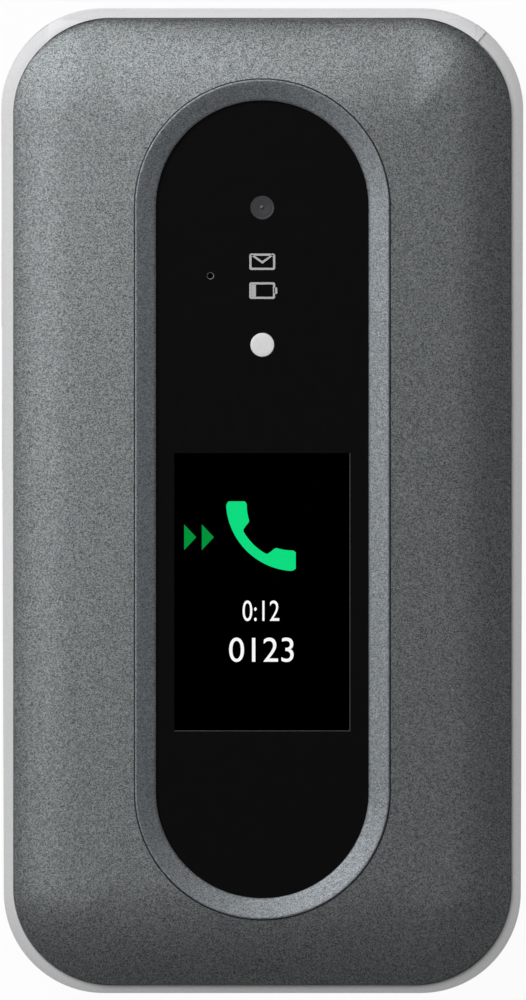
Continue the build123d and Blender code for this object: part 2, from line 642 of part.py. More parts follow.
with BuildPart() as inner_display:
    extrude(
        rounded_rectangle(
            INNER_WINDOW_TOP,
            INNER_WINDOW_WIDTH - 2 * INNER_WINDOW_LEDGE,
            INNER_WINDOW_LENGTH - 2 * INNER_WINDOW_LEDGE,
            INNER_DISPLAY_CORNER,
            y=INNER_WINDOW_Y,
        ),
        amount=INNER_DISPLAY_THICKNESS,
    )
save(inner_display, "inner_display")

with BuildPart() as lid_circuit_board:
    extrude(
        rounded_rectangle(
            LID_BOARD_BOTTOM,
            LID_BOARD_WIDTH,
            LID_BOARD_HINGE_END - LID_BOARD_FREE_END,
            BOARD_CORNER,
            y=(LID_BOARD_HINGE_END + LID_BOARD_FREE_END) / 2,
        ),
        amount=LID_BOARD_THICKNESS,
    )
save(lid_circuit_board, "lid_circuit_board")

with BuildPart() as outer_display:
    extrude(
        rounded_rectangle(
            WINDOW_BOTTOM - OUTER_DISPLAY_THICKNESS,
            OUTER_DISPLAY_WIDTH,
            OUTER_DISPLAY_LENGTH,
            OUTER_DISPLAY_CORNER,
            y=OUTER_DISPLAY_Y,
        ),
        amount=OUTER_DISPLAY_THICKNESS,
    )
save(outer_display, "outer_display")

with BuildPart() as camera_module:
    extrude(
        rounded_rectangle(
            LID_BOARD_TOP, 2 * CAMERA_BARREL_RADIUS, 2 * CAMERA_BARREL_RADIUS, CAMERA_CORNER, y=CAMERA_Y
        ),
        amount=(WINDOW_BOTTOM - LID_BOARD_TOP) / 2,
    )
    extrude(
        disc(LID_BOARD_TOP, CAMERA_BARREL_RADIUS - WALL / 2, y=CAMERA_Y),
        amount=WINDOW_BOTTOM - LID_BOARD_TOP,
    )
save(camera_module, "camera_module")

with BuildPart() as camera_lens:
    extrude(disc(WINDOW_BOTTOM, CAMERA_GLASS_RADIUS, y=CAMERA_Y), amount=WINDOW_THICKNESS - FIT)
    fillet(camera_lens.edges().group_by(Axis.Z)[-1], FIT)
save(camera_lens, "camera_lens")

with BuildPart() as flash_lens:
    extrude(disc(LID_BOARD_TOP, FLASH_RADIUS + WALL / 2, y=FLASH_Y), amount=WINDOW_BOTTOM - LID_BOARD_TOP)
    extrude(disc(WINDOW_BOTTOM, FLASH_RADIUS, y=FLASH_Y), amount=WINDOW_THICKNESS)
    fillet(flash_lens.edges().group_by(Axis.Z)[-1], FIT)
save(flash_lens, "flash_lens")

with BuildPart() as indicator_light_guide:
    extrude(
        rounded_rectangle(LID_BOARD_TOP, ICON_SPAN_X, ICON_SPAN_Y, ICON_CORNER, y=ICON_Y),
        amount=WINDOW_BOTTOM - LID_BOARD_TOP,
    )
save(indicator_light_guide, "indicator_light_guide")

with BuildPart() as lid_microphone:
    extrude(
        rounded_rectangle(LID_BOARD_TOP, MIC_BODY, MIC_BODY, SMALL_CORNER, x=MIC_X, y=ICON_Y),
        amount=WINDOW_BOTTOM - LID_BOARD_TOP,
    )
save(lid_microphone, "lid_microphone")

with BuildPart() as earpiece_speaker:
    extrude(
        rounded_rectangle(BACKPLATE_TOP, EARPIECE_WIDTH, EARPIECE_HEIGHT, EARPIECE_CORNER, y=EARPIECE_Y),
        amount=LID_BOARD_TOP - BACKPLATE_TOP,
    )
save(earpiece_speaker, "earpiece_speaker")

with BuildPart() as earpiece_mesh:
    with BuildSketch(Plane.XY.offset(LID_BOTTOM + INNER_WINDOW_RECESS)):
        with Locations((0, EARPIECE_Y)):
            SlotOverall(EARPIECE_SLOT_WIDTH - FIT, EARPIECE_SLOT_HEIGHT - FIT)
    extrude(amount=BACKPLATE - INNER_WINDOW_RECESS)
save(earpiece_mesh, "earpiece_mesh")

with BuildPart() as lid_bumpers:
    bumper_x = half_width(FREE_END) - BUMPER_X_INSET
    for x in (-bumper_x, bumper_x):
        extrude(disc(BASE_DEPTH, BUMPER_RADIUS, x, FREE_END + BUMPER_TO_FREE_END), amount=LID_GAP)
save(lid_bumpers, "lid_bumpers")

with BuildPart() as lid_magnet:
    extrude(
        rounded_rectangle(BACKPLATE_TOP, MAGNET_LENGTH, MAGNET_WIDTH, SMALL_CORNER, x=MAGNET_X, y=EARPIECE_Y),
        amount=MAGNET_THICKNESS,
    )
save(lid_magnet, "lid_magnet")

# ================================================================ hinge

MODULE_START = -BARREL_HALF
with BuildPart() as hinge_module:
    add(hinge_cylinder(MODULE_RADIUS, MODULE_START, MODULE_START + MODULE_LENGTH))
    add(
        hinge_cylinder(
            MODULE_RADIUS - MODULE_WALL,
            MODULE_START + MODULE_NOSE,
            MODULE_START + MODULE_LENGTH - MODULE_NOSE,
        ),
        mode=Mode.SUBTRACT,
    )
    add(
        hinge_cylinder(PIN_RADIUS + PIN_RUNNING_GAP, MODULE_START, MODULE_START + MODULE_NOSE),
        mode=Mode.SUBTRACT,
    )
save(hinge_module, "hinge_module")

CAM_START = MODULE_START + MODULE_NOSE + SWING
with BuildPart() as hinge_cam:
    add(hinge_cylinder(CAM_RADIUS, CAM_START, CAM_START + CAM_LENGTH))
    add(hinge_cylinder(PIN_RADIUS, -PIN_TIP_X, CAM_START))
save(hinge_cam, "hinge_cam")

with BuildPart() as hinge_spring:
    add(
        hinge_cylinder(
            SPRING_RADIUS,
            CAM_START + CAM_LENGTH + SWING,
            MODULE_START + MODULE_LENGTH - MODULE_NOSE,
            bore=SPRING_BORE,
        )
    )
save(hinge_spring, "hinge_spring")

with BuildPart() as hinge_pin:
    add(hinge_cylinder(PIN_RADIUS, BARREL_HALF - PIN_REACH, PIN_TIP_X))
save(hinge_pin, "hinge_pin")

with BuildPart() as hinge_flex:
    add(hinge_cylinder(FLEX_RADIUS, 0, FLEX_WIDTH, bore=FLEX_RADIUS - FLEX_THICKNESS))
    add(
        block(
            (0, FLEX_WIDTH),
            (LID_BOARD_HINGE_END, AXIS_Y - FLEX_RADIUS + FLEX_THICKNESS / 2),
            (AXIS_Z - FLEX_THICKNESS / 2, AXIS_Z + FLEX_THICKNESS / 2),
        )
    )
save(hinge_flex, "hinge_flex")

# ================================================================ base

with BuildPart() as ear_posts:
    for x_range in ((-WIDTH, -EAR_INNER_X), (EAR_INNER_X, WIDTH)):
        add(hinge_cylinder(EAR_RADIUS, *x_range))
        add(ear_web(*x_range))
    add(BAND_LIMIT, mode=Mode.INTERSECT)
    add(hinge_cylinder(PIN_RADIUS, -PIN_TIP_X, PIN_TIP_X), mode=Mode.SUBTRACT)

with BuildPart() as base_frame:
    extrude(outline(HOUSING_DEPTH), amount=BASE_DEPTH - HOUSING_DEPTH)
    extrude(
        outline(HOUSING_DEPTH, inset=FRAME_WALL, y_limit=CROSSBAR_Y),
        amount=BASE_DEPTH - HOUSING_DEPTH,
        mode=Mode.SUBTRACT,
    )
    add(hinge_cylinder(CRADLE_RADIUS, -EAR_INNER_X, EAR_INNER_X), mode=Mode.SUBTRACT)
    for x_start in (-EAR_INNER_X - WIDTH, EAR_INNER_X):
        add(cradle_past_web(x_start, x_start + WIDTH), mode=Mode.SUBTRACT)
    add(
        block((-WIDTH, WIDTH), (AXIS_Y, LENGTH), (BASE_DEPTH - REAR_RIM_DROP, 2 * LID_TOP)),
        mode=Mode.SUBTRACT,
    )
    add(ear_posts.part)
    for y, length in ((VOLUME_UP_Y, VOLUME_UP_LENGTH), (VOLUME_DOWN_Y, VOLUME_DOWN_LENGTH)):
        face_x = -half_width(y)
        add(
            block(
                (face_x - WALL, face_x + 2 * FRAME_WALL),
                (y - length / 2 - KEY_GAP, y + length / 2 + KEY_GAP),
                (SIDE_KEY_Z - SIDE_KEY_HEIGHT / 2 - KEY_GAP, SIDE_KEY_Z + SIDE_KEY_HEIGHT / 2 + KEY_GAP),
            ),
            mode=Mode.SUBTRACT,
        )
save(base_frame, "base_frame")

with BuildPart() as rear_housing:
    extrude(outline(0), amount=HOUSING_DEPTH)
    fillet(rear_housing.faces().sort_by(Axis.Z)[0].edges(), BACK_ROLL)
    add(block((-WIDTH, WIDTH), (-LENGTH, SPLIT_Y), (0, COVER_DEPTH)), mode=Mode.SUBTRACT)
    extrude(
        outline(TRAY_FLOOR + FIT, inset=WALL + COVER_GAP, y_limit=SPLIT_Y),
        amount=COVER_DEPTH - TRAY_FLOOR - FIT,
    )
    extrude(outline(TUB_FLOOR, inset=FRAME_WALL), amount=HOUSING_DEPTH, mode=Mode.SUBTRACT)
    extrude(
        rounded_rectangle(
            TRAY_FLOOR + FIT,
            BAY_WIDTH + 2 * BAY_WALL,
            BAY_LENGTH + 2 * BAY_WALL,
            BAY_CORNER + BAY_WALL / 2,
            y=BAY_Y,
        ),
        amount=BAY_TOP - TRAY_FLOOR - FIT,
    )
    extrude(
        rounded_rectangle(0, BAY_WIDTH, BAY_LENGTH, BAY_CORNER, y=BAY_Y),
        amount=BAY_TOP - BAY_FLOOR,
        mode=Mode.SUBTRACT,
    )
    for side in (-1, 1):
        add(
            block(
                (side * CONTACT_X - CONTACT_RADIUS, side * CONTACT_X + CONTACT_RADIUS),
                (FREE_END, FREE_END + FRAME_WALL),
                (USB_Z - CONTACT_RADIUS, USB_Z + CONTACT_RADIUS),
            ),
            mode=Mode.SUBTRACT,
        )
    with BuildSketch(Plane.XZ.offset(-FREE_END)):
        with Locations((0, USB_Z)):
            SlotOverall(USB_MOUTH_WIDTH + 2 * USB_WALL + FIT, USB_MOUTH_HEIGHT + 2 * USB_WALL + FIT)
    extrude(amount=-USB_DEPTH - FIT, mode=Mode.SUBTRACT)
    with BuildSketch():
        with Locations((SPEAKER_X, SPEAKER_Y)):
            with GridLocations(SPEAKER_SLOT_PITCH, SPEAKER_SLOT_PITCH, 1, SPEAKER_SLOTS):
                SlotOverall(SPEAKER_SLOT, SPEAKER_SLOT_WIDTH)
    extrude(amount=TUB_FLOOR, mode=Mode.SUBTRACT)
    with Locations([(x, y, TUB_FLOOR) for x, y in BASE_SCREW_PLACES]):
        Hole(SCREW_RADIUS + FIT / 2, depth=TUB_FLOOR)
    with Locations([Location((x, y, TRAY_FLOOR + FIT), (180, 0, 0)) for x, y in BASE_SCREW_PLACES]):
        Hole(SCREW_HEAD_RADIUS + FIT / 2, depth=SCREW_HEAD_HEIGHT)
save(rear_housing, "rear_housing")

with BuildPart() as battery_cover:
    extrude(outline(0, y_limit=SPLIT_Y - COVER_GAP), amount=COVER_DEPTH)
    fillet(
        battery_cover.faces().sort_by(Axis.Z)[0].edges().sort_by(Axis.Y)[:-1],
        BACK_ROLL,
    )
    extrude(
        outline(TRAY_FLOOR, inset=WALL, y_limit=SPLIT_Y),
        amount=COVER_DEPTH,
        mode=Mode.SUBTRACT,
    )
    with BuildSketch():
        with Locations((0, SPLIT_Y - GRIP_TO_SPLIT)):
            with GridLocations(GRIP_PITCH, GRIP_PITCH, 1, GRIP_GROOVES):
                SlotOverall(GRIP_LENGTH, GRIP_WIDTH)
    extrude(amount=GRIP_DEPTH, mode=Mode.SUBTRACT)
save(battery_cover, "battery_cover")

with BuildPart() as battery:
    extrude(
        rounded_rectangle(BATTERY_BOTTOM, BATTERY_WIDTH, BATTERY_LENGTH, BATTERY_CORNER, y=BATTERY_Y),
        amount=BATTERY_THICKNESS,
    )
    fillet(battery.edges().group_by(Axis.Z)[0], BATTERY_EDGE)
save(battery, "battery")

with BuildPart() as sim_holder:
    extrude(
        rounded_rectangle(BAY_TOP - BAY_FLOOR - SIM_THICKNESS, SIM_WIDTH, SIM_LENGTH, SIM_CORNER, y=SIM_Y),
        amount=SIM_THICKNESS,
    )
save(sim_holder, "sim_holder")

with BuildPart() as main_circuit_board:
    extrude(outline(BOARD_BOTTOM, inset=BOARD_INSET, y_limit=BOARD_HINGE_END), amount=BOARD_THICKNESS)
    for place in BASE_SCREW_PLACES:
        extrude(
            disc(BOARD_BOTTOM, BASE_POST_RADIUS + FIT, *place),
            amount=BOARD_THICKNESS,
            mode=Mode.SUBTRACT,
        )
save(main_circuit_board, "main_circuit_board")

with BuildPart() as key_dome_sheet:
    extrude(outline(BOARD_TOP, inset=BOARD_INSET, y_limit=BOARD_HINGE_END), amount=DOME_SHEET)
    for place in BASE_SCREW_PLACES:
        extrude(
            disc(BOARD_TOP, BASE_POST_RADIUS + FIT, *place),
            amount=DOME_SHEET,
            mode=Mode.SUBTRACT,
        )
save(key_dome_sheet, "key_dome_sheet")

with BuildPart() as loudspeaker:
    extrude(
        rounded_rectangle(TUB_FLOOR, SPEAKER_WIDTH, SPEAKER_HEIGHT, SPEAKER_CORNER, x=SPEAKER_X, y=SPEAKER_Y),
        amount=SPEAKER_THICKNESS,
    )
save(loudspeaker, "loudspeaker")

with BuildPart() as vibration_motor:
    with BuildSketch(Plane.YZ.offset(MOTOR_X - MOTOR_LENGTH / 2)):
        with Locations((SPEAKER_Y, TUB_FLOOR + MOTOR_RADIUS)):
            Circle(MOTOR_RADIUS)
    extrude(amount=MOTOR_LENGTH)
save(vibration_motor, "vibration_motor")

with BuildPart() as usb_socket:
    with BuildSketch(Plane.XZ.offset(-FREE_END)):
        with Locations((0, USB_Z)):
            SlotOverall(USB_MOUTH_WIDTH + 2 * USB_WALL, USB_MOUTH_HEIGHT + 2 * USB_WALL)
    extrude(amount=-USB_DEPTH)
    with BuildSketch(Plane.XZ.offset(-FREE_END)):
        with Locations((0, USB_Z)):
            SlotOverall(USB_MOUTH_WIDTH, USB_MOUTH_HEIGHT)
    extrude(amount=-USB_DEPTH + WALL, mode=Mode.SUBTRACT)
    with BuildSketch(Plane.XZ.offset(-FREE_END - WALL)):
        with Locations((0, USB_Z)):
            Rectangle(USB_TONGUE_WIDTH, USB_TONGUE_THICKNESS)
    extrude(amount=-USB_DEPTH + WALL)
save(usb_socket, "usb_socket")

with BuildPart() as charging_contacts:
    for side in (-1, 1):
        with BuildSketch(Plane.XZ.offset(-FREE_END)):
            with Locations((side * CONTACT_X, USB_Z)):
                Circle(CONTACT_RADIUS)
        extrude(amount=-FRAME_WALL)
save(charging_contacts, "charging_contacts")

with BuildPart() as base_microphone:
    extrude(
        rounded_rectangle(SHEET_TOP, MIC_BODY, MIC_BODY, SMALL_CORNER, y=DECK_MIC_Y),
        amount=DECK_BOTTOM - SHEET_TOP,
    )
save(base_microphone, "base_microphone")

with BuildPart() as antenna:
    extrude(
        rounded_rectangle(
            TUB_FLOOR, ANTENNA_WIDTH, ANTENNA_LENGTH, ANTENNA_CORNER, y=FREE_END + ANTENNA_TO_FREE_END
        ),
        amount=ANTENNA_THICKNESS,
    )
save(antenna, "antenna")


# ================================================================ keys
def round_key(radius, x, y):
    """How to draw a round key, grown on every side."""
    return lambda height, grow: disc(height, radius + grow, x, y)


def pad_key(width, length, radius, x, y):
    """How to draw a rounded rectangular key, grown on every side."""
    return lambda height, grow: rounded_rectangle(
        height, width + 2 * grow, length + 2 * grow, radius + grow, x, y
    )


KEYS = {}
for index, name in enumerate(("star", "0", "hash", "7", "8", "9", "4", "5", "6", "1", "2", "3")):
    row, column = divmod(index, 3)
    place = (
        (column - 1) * (DIGIT_WIDTH + COLUMN_SPACE),
        DIGITS_START_Y + DIGIT_HEIGHT / 2 + row * (DIGIT_HEIGHT + ROW_SPACE),
    )
    KEYS[f"key_{name}"] = (pad_key(DIGIT_WIDTH, DIGIT_HEIGHT, DIGIT_RADIUS, *place), place)
for name, side in (("call_key", -1), ("end_key", 1)):
    place = (side * CALL_X, NAVIGATION_Y)
    KEYS[name] = (pad_key(CALL_WIDTH, CALL_HEIGHT, CALL_RADIUS, *place), place)
for name, side in (("left_soft_key", -1), ("right_soft_key", 1)):
    place = (side * SOFT_X, SOFT_Y)
    KEYS[name] = (pad_key(SOFT_WIDTH, SOFT_HEIGHT, SOFT_RADIUS, *place), place)
KEYS["select_key"] = (round_key(SELECT_RADIUS, 0, NAVIGATION_Y), (0, NAVIGATION_Y))
NAVIGATION = pad_key(NAVIGATION_SIZE, NAVIGATION_SIZE, NAVIGATION_RADIUS, 0, NAVIGATION_Y)
STEM_REACH = (SELECT_RADIUS + NAVIGATION_SIZE / 2) / 2
NAVIGATION_STEMS = [
    (-STEM_REACH, NAVIGATION_Y),
    (STEM_REACH, NAVIGATION_Y),
    (0, NAVIGATION_Y - STEM_REACH),
    (0, NAVIGATION_Y + STEM_REACH),
]

with BuildPart() as keypad_deck:
    extrude(outline(DECK_BOTTOM, inset=FRAME_WALL, y_limit=DECK_HINGE_END), amount=DECK_THICKNESS)
    for name, (shape, place) in KEYS.items():
        if name != "select_key":
            extrude(shape(DECK_BOTTOM, KEY_GAP), amount=DECK_THICKNESS, mode=Mode.SUBTRACT)
    extrude(NAVIGATION(DECK_BOTTOM, KEY_GAP), amount=DECK_THICKNESS, mode=Mode.SUBTRACT)
    with BuildSketch(Plane.XY.offset(DECK_BOTTOM)):
        with Locations((0, DECK_MIC_Y)):
            Circle(MIC_RADIUS)
    extrude(amount=DECK_THICKNESS, mode=Mode.SUBTRACT)
    for place in BASE_SCREW_PLACES:
        extrude(disc(TUB_FLOOR, BASE_POST_RADIUS, *place), amount=DECK_BOTTOM - TUB_FLOOR)
    with Locations([Location((x, y, TUB_FLOOR), (180, 0, 0)) for x, y in BASE_SCREW_PLACES]):
        Hole(SCREW_RADIUS, depth=SCREW_LENGTH)
save(keypad_deck, "keypad_deck")

with BuildPart() as base_screws:
    for place in BASE_SCREW_PLACES:
        extrude(
            disc(TRAY_FLOOR + FIT, SCREW_HEAD_RADIUS, *place),
            amount=SCREW_HEAD_HEIGHT,
        )
        extrude(
            disc(TRAY_FLOOR + FIT, SCREW_RADIUS, *place),
            amount=TUB_FLOOR - TRAY_FLOOR - FIT + SCREW_LENGTH,
        )
save(base_screws, "base_screws")

for name, (shape, place) in KEYS.items():
    with BuildPart() as key:
        extrude(shape(DECK_BOTTOM, 0), amount=KEY_TOP - DECK_BOTTOM)
        fillet(key.faces().sort_by(Axis.Z)[-1].edges(), KEY_EDGE)
        flange_grow = 0 if name == "select_key" else KEY_FLANGE
        extrude(shape(DECK_BOTTOM - KEY_FLANGE_HEIGHT, flange_grow), amount=KEY_FLANGE_HEIGHT)
        extrude(
            disc(KEY_STEM_BOTTOM, KEY_STEM_RADIUS, *place),
            amount=DECK_BOTTOM - KEY_STEM_BOTTOM,
        )
    save(key, name)

with BuildPart() as navigation_key:
    extrude(NAVIGATION(DECK_BOTTOM, 0), amount=KEY_TOP - DECK_BOTTOM)
    fillet(navigation_key.faces().sort_by(Axis.Z)[-1].edges(), KEY_EDGE)
    extrude(NAVIGATION(DECK_BOTTOM - KEY_FLANGE_HEIGHT, KEY_FLANGE), amount=KEY_FLANGE_HEIGHT)
    for place in NAVIGATION_STEMS:
        extrude(disc(KEY_STEM_BOTTOM, KEY_STEM_RADIUS, *place), amount=DECK_BOTTOM - KEY_STEM_BOTTOM)
    extrude(
        disc(KEY_STEM_BOTTOM, SELECT_RADIUS + KEY_GAP, y=NAVIGATION_Y),
        amount=LID_TOP,
        mode=Mode.SUBTRACT,
    )
save(navigation_key, "navigation_key")

for name, y, length in (
    ("volume_up_key", VOLUME_UP_Y, VOLUME_UP_LENGTH),
    ("volume_down_key", VOLUME_DOWN_Y, VOLUME_DOWN_LENGTH),
):
    face_x = -half_width(y)
    inner_x = face_x + FRAME_WALL + FIT / 2
    with BuildPart() as side_key:
        add(
            block(
                (face_x - SIDE_KEY_PROUD, inner_x),
                (y - length / 2, y + length / 2),
                (SIDE_KEY_Z - SIDE_KEY_HEIGHT / 2, SIDE_KEY_Z + SIDE_KEY_HEIGHT / 2),
            )
        )
        fillet(side_key.faces().sort_by(Axis.X)[0].edges(), KEY_EDGE)
        add(
            block(
                (inner_x, inner_x + SIDE_KEY_FLANGE),
                (y - length / 2 - KEY_FLANGE, y + length / 2 + KEY_FLANGE),
                (SIDE_KEY_Z - SIDE_KEY_HEIGHT / 2, SIDE_KEY_Z + SIDE_KEY_HEIGHT / 2),
            )
        )
    save(side_key, name)
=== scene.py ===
"""A closed flip phone, seen from straight above: the looks of the solids that build/part.py makes.

Every piece rides on a body of the frame. Pieces that replace a solid follow its size and place and add the
rolled, crowned and recessed surfaces, and the others are prints, signs and the lit screen. Points are in
millimetres, in the solids' frame, and finish_mesh turns them into metres.
"""
import json
import math

import bmesh
import bpy
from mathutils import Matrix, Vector


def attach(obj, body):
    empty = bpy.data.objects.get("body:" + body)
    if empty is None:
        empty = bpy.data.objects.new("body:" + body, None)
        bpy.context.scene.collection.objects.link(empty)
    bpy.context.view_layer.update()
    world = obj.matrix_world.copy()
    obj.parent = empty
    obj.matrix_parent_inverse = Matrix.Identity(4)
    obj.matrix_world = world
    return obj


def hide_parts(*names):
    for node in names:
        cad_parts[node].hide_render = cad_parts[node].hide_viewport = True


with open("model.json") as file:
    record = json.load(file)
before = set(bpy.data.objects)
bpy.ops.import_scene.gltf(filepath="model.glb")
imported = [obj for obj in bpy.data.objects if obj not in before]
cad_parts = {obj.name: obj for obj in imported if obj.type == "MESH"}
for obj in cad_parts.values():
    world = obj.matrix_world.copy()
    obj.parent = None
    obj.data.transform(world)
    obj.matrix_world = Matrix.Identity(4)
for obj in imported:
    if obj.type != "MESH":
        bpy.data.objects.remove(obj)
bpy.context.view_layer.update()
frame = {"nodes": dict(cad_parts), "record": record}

MM = 0.001

# ---------------------------------------------------------------- sizes in millimetres, angles in degrees
# the lid's outline
WIDTH = 57.95
LENGTH = 110.0
SIDE_TAPER = 0.0031  # the sides spread towards the hinge by this share
CORNER_RADIUS = 11.2
RIM_SHOW = 0.3  # the base's rim shows this far past the lid at the hinge end

# the hinge
HINGE_Y = 49.4
HINGE_Z = 14.0
BARREL_RADIUS = 3.9
BARREL_HALF = 23.9
EAR_ROOM_RADIUS = 2.7  # what turns over the base's ears stays outside this radius
EAR_WEB_REACH = 3.8  # the webs below the ears reach this far towards the free end
OVER_EARS_Z = 16.62  # underside of the thin stretches over the ears
LID_END_RADIUS = 5.45  # the lid's end stays inside this radius, so that it can turn

# the silver band round the lid
BAND_TOP_Z = 16.95
BAND_BOTTOM_Z = 10.6
BAND_TILT = (4.0, 22.0)  # slope at its inner and at its outer edge
BAND_WALL = 1.9

# the bright trim round the hinge barrel
TRIM_RADIUS = 5.3
TRIM_HALF = 23.83
TRIM_LOW_Z = 8.75
TRIM_TOP_Z = 17.25
TRIM_WIDTH = 1.13
TRIM_CUTS = {-1: 32.0, 1: 39.0}  # where the band takes over, round the left and the right corner
TRIM_CUT_GAP = 0.35  # the right cut's gap, round the corner
TRIM_BARREL_GAP = 0.08
SKIN_START = 31.2  # the skin over the right ear starts here, round the corner
SKIN_DROP = 0.008

# the dark panel
PANEL_HALF = (27.72, 53.87)
PANEL_Y = -0.17
PANEL_RADIUS = 10.9
PANEL_EDGE_Z = 17.1
PANEL_CREST_Z = 19.42
PANEL_BOTTOM_Z = 16.3
PANEL_WALL = 1.2
SIDE_ROLL = 6.0  # width of the roll along the sides
END_ROLL = 12.0  # and along the ends
EDGE_START = 0.6  # the roll is cut off this far from where it would meet the edge's height
SOFT_SHARE = 0.5  # share of a plain parabola in the roll, which the corners over the barrel's ends do without
SIDE_CROWN = 1.0  # the face falls by this much to the sides
HINGE_CROWN = 0.2  # and by this much to the hinge end

# the window, its ring and what shows in it
WINDOW_HALF = (11.85, 44.455)
WINDOW_Y = 0.075
WINDOW_Z = 18.5
WINDOW_LOW_Z = 17.3
RING_WIDTH = 2.37
RING_LOW_Z = 16.6
CAMERA = (0.0, 32.6)
FLASH = (0.0, 17.3)
LENS_RADIUS = 1.34
MICROPHONE = (-5.79, 25.0)
MESSAGE_BOX = (-1.44, 25.65, 1.44, 27.47)
BATTERY_BOX = (-1.45, 22.42, 1.43, 24.27)
SIGN_STROKE = 0.24
SCREEN_HALF = (9.8, 15.5)
SCREEN_Y = -10.27

# the keypad
KEY_COLUMN = 17.2
KEY_ROW = 12.0
FIRST_ROW_Y = -8.0
PAD_Y = 10.55
CALL_KEYS_X = 18.9
SOFT_KEYS_X = 13.0
SOFT_KEYS_Y = 27.2
NAVIGATION_STEM = 7.675
STEM_RADIUS = 1.2
STEM_LOW_Z = 8.2
FLANGE_Z = (8.9, 9.3)
CAP_EDGE_Z = 10.14  # where a cap's side starts to roll over
PRINT_Z = (10.42, 10.474)
DIGIT_CAP = (15.4, 9.6, 3.0)  # width, height and corner radius, here and for the next three
SOFT_CAP = (21.0, 7.0, 3.0)
CALL_CAP = (12.0, 19.0, 4.5)
NAVIGATION_CAP = (21.5, 21.5, 7.0)
NAVIGATION_HOLE = 4.75
SELECT_RADIUS = 4.6

# the screws, the inside of the lid and the back
SCREW_RADIUS = 1.4
HEX_RADIUS = 0.68
HEX_DEPTH = 0.4
SHANK_RADIUS = 0.7
LID_SCREWS = ((-24, 24), (-44.5, 33.5))  # each x goes with each y
LID_SCREW_Z = (10.65, 11.3, 15.8)  # the head's face, the head's back and the shank's tip
BASE_SCREWS = ((-15, 15), (-51.3, 32.8))
BASE_SCREW_Z = (1.3, 2.0, 7.4)
DISPLAY_BOX = (-20.4, -30.2, 20.4, 24.2)
DISPLAY_Z = (10.742, 10.75)
CONTACT_XS = (-4.0, 0.0, 4.0)
CONTACT_YS = (20.6, 23.6)
CONTACT_Z = (1.285, 1.3)


# ---------------------------------------------------------------- meshes
def finish_mesh(name, bm, body, slot, replaces=(), angle=35.0, material=None):
    """Turns a bmesh in millimetres into a piece that rides on a body.

    Edges sharper than the angle stay sharp.
    """
    bmesh.ops.remove_doubles(bm, verts=bm.verts, dist=1e-5)
    bmesh.ops.recalc_face_normals(bm, faces=bm.faces)
    bmesh.ops.scale(bm, vec=(MM, MM, MM), verts=bm.verts)
    mesh = bpy.data.meshes.new(name)
    bm.to_mesh(mesh)
    bm.free()
    mesh.shade_smooth()
    mesh.set_sharp_from_angle(angle=math.radians(angle))
    piece = bpy.data.objects.new(name, mesh)
    bpy.context.scene.collection.objects.link(piece)
    mesh.materials.append(material or MATERIALS[slot])
    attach(piece, body)
    if replaces:
        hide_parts(*replaces)


def between(p, q, f):
    """The point at a share of the way from one point to another."""
    return tuple(a + (b - a) * f for a, b in zip(p, q))


def add_loft(bm, rings, closed=False):
    """Joins rings of equal count, and either caps both ends or joins the last to the first."""
    made = [[bm.verts.new(p) for p in ring] for ring in rings]
    count = len(made[0])
    pairs = list(zip(made, made[1:]))
    if closed:
        pairs.append((made[-1], made[0]))
    for a, b in pairs:
        for i in range(count):
            j = (i + 1) % count
            bm.faces.new((a[i], a[j], b[j], b[i]))
    if not closed:
        bm.faces.new(list(reversed(made[0])))
        bm.faces.new(made[-1])


def rounded_points(half_x, half_y, radius, centre, corner, side=1):
    """A rounded rectangle, clockwise from the top, with a number of steps to each corner and each side."""
    points = []
    straight = (half_x - radius, half_y - radius)
    centres = ((1, 1, 90), (1, -1, 0), (-1, -1, -90), (-1, 1, 180))
    for index, (sx, sy, start) in enumerate(centres):
        cx, cy = sx * straight[0], sy * straight[1]
        for k in range(corner + 1):
            a = math.radians(start - 90 * k / corner)
            points.append((cx + radius * math.cos(a), cy + radius * math.sin(a)))
        a = math.radians(start - 90)
        nx, ny = math.cos(a), math.sin(a)
        length = 2 * (straight[1] if index % 2 == 0 else straight[0])
        x0, y0 = cx + radius * nx, cy + radius * ny
        for k in range(1, side):
            points.append((x0 + ny * length * k / side, y0 - nx * length * k / side))
    return [(x + centre[0], y + centre[1]) for x, y in points]


def resample(points, count):
    """Spreads count points evenly along a closed outline, starting at its top middle."""
    closed = points + [points[0]]
    lengths = [math.dist(p, q) for p, q in zip(closed, closed[1:])]
    total = sum(lengths)
    top = max(p[1] for p in points) - 1e-6
    start = 0.0
    run = 0.0
    for p, q, step in zip(closed, closed[1:], lengths):
        if p[0] <= 0 <= q[0] and min(p[1], q[1]) > top:
            start = run - step * p[0] / max(q[0] - p[0], 1e-9)
        run += step
    marks = sorted(((start + total * k / count) % total, k) for k in range(count))
    placed = [None] * count
    index, run = 0, 0.0
    for mark, k in marks:
        while run + lengths[index] < mark and index < len(lengths) - 1:
            run += lengths[index]
            index += 1
        f = (mark - run) / lengths[index]
        placed[k] = between(closed[index], closed[index + 1], f)
    return placed


def stadium_points(half_x, half_y, centre_y, count):
    """A round-ended outline with as many points as asked."""
    return resample(rounded_points(half_x, half_y, half_x - 1e-4, (0, centre_y), corner=60), count)


def circle_points(radius, centre, count):
    """A circle, from the top and clockwise."""
    turns = [math.radians(90 - 360 * k / count) for k in range(count)]
    return [(centre[0] + radius * math.cos(a), centre[1] + radius * math.sin(a)) for a in turns]


def at_height(points, z):
    """Flat points, lifted to a height."""
    return [(x, y, z) for x, y in points]


def pushed_in(x, y, facing, section):
    """Points of a section, each (distance in from the outline, height), at a place of the outline."""
    return [(x - facing[0] * depth, y - facing[1] * depth, z) for depth, z in section]


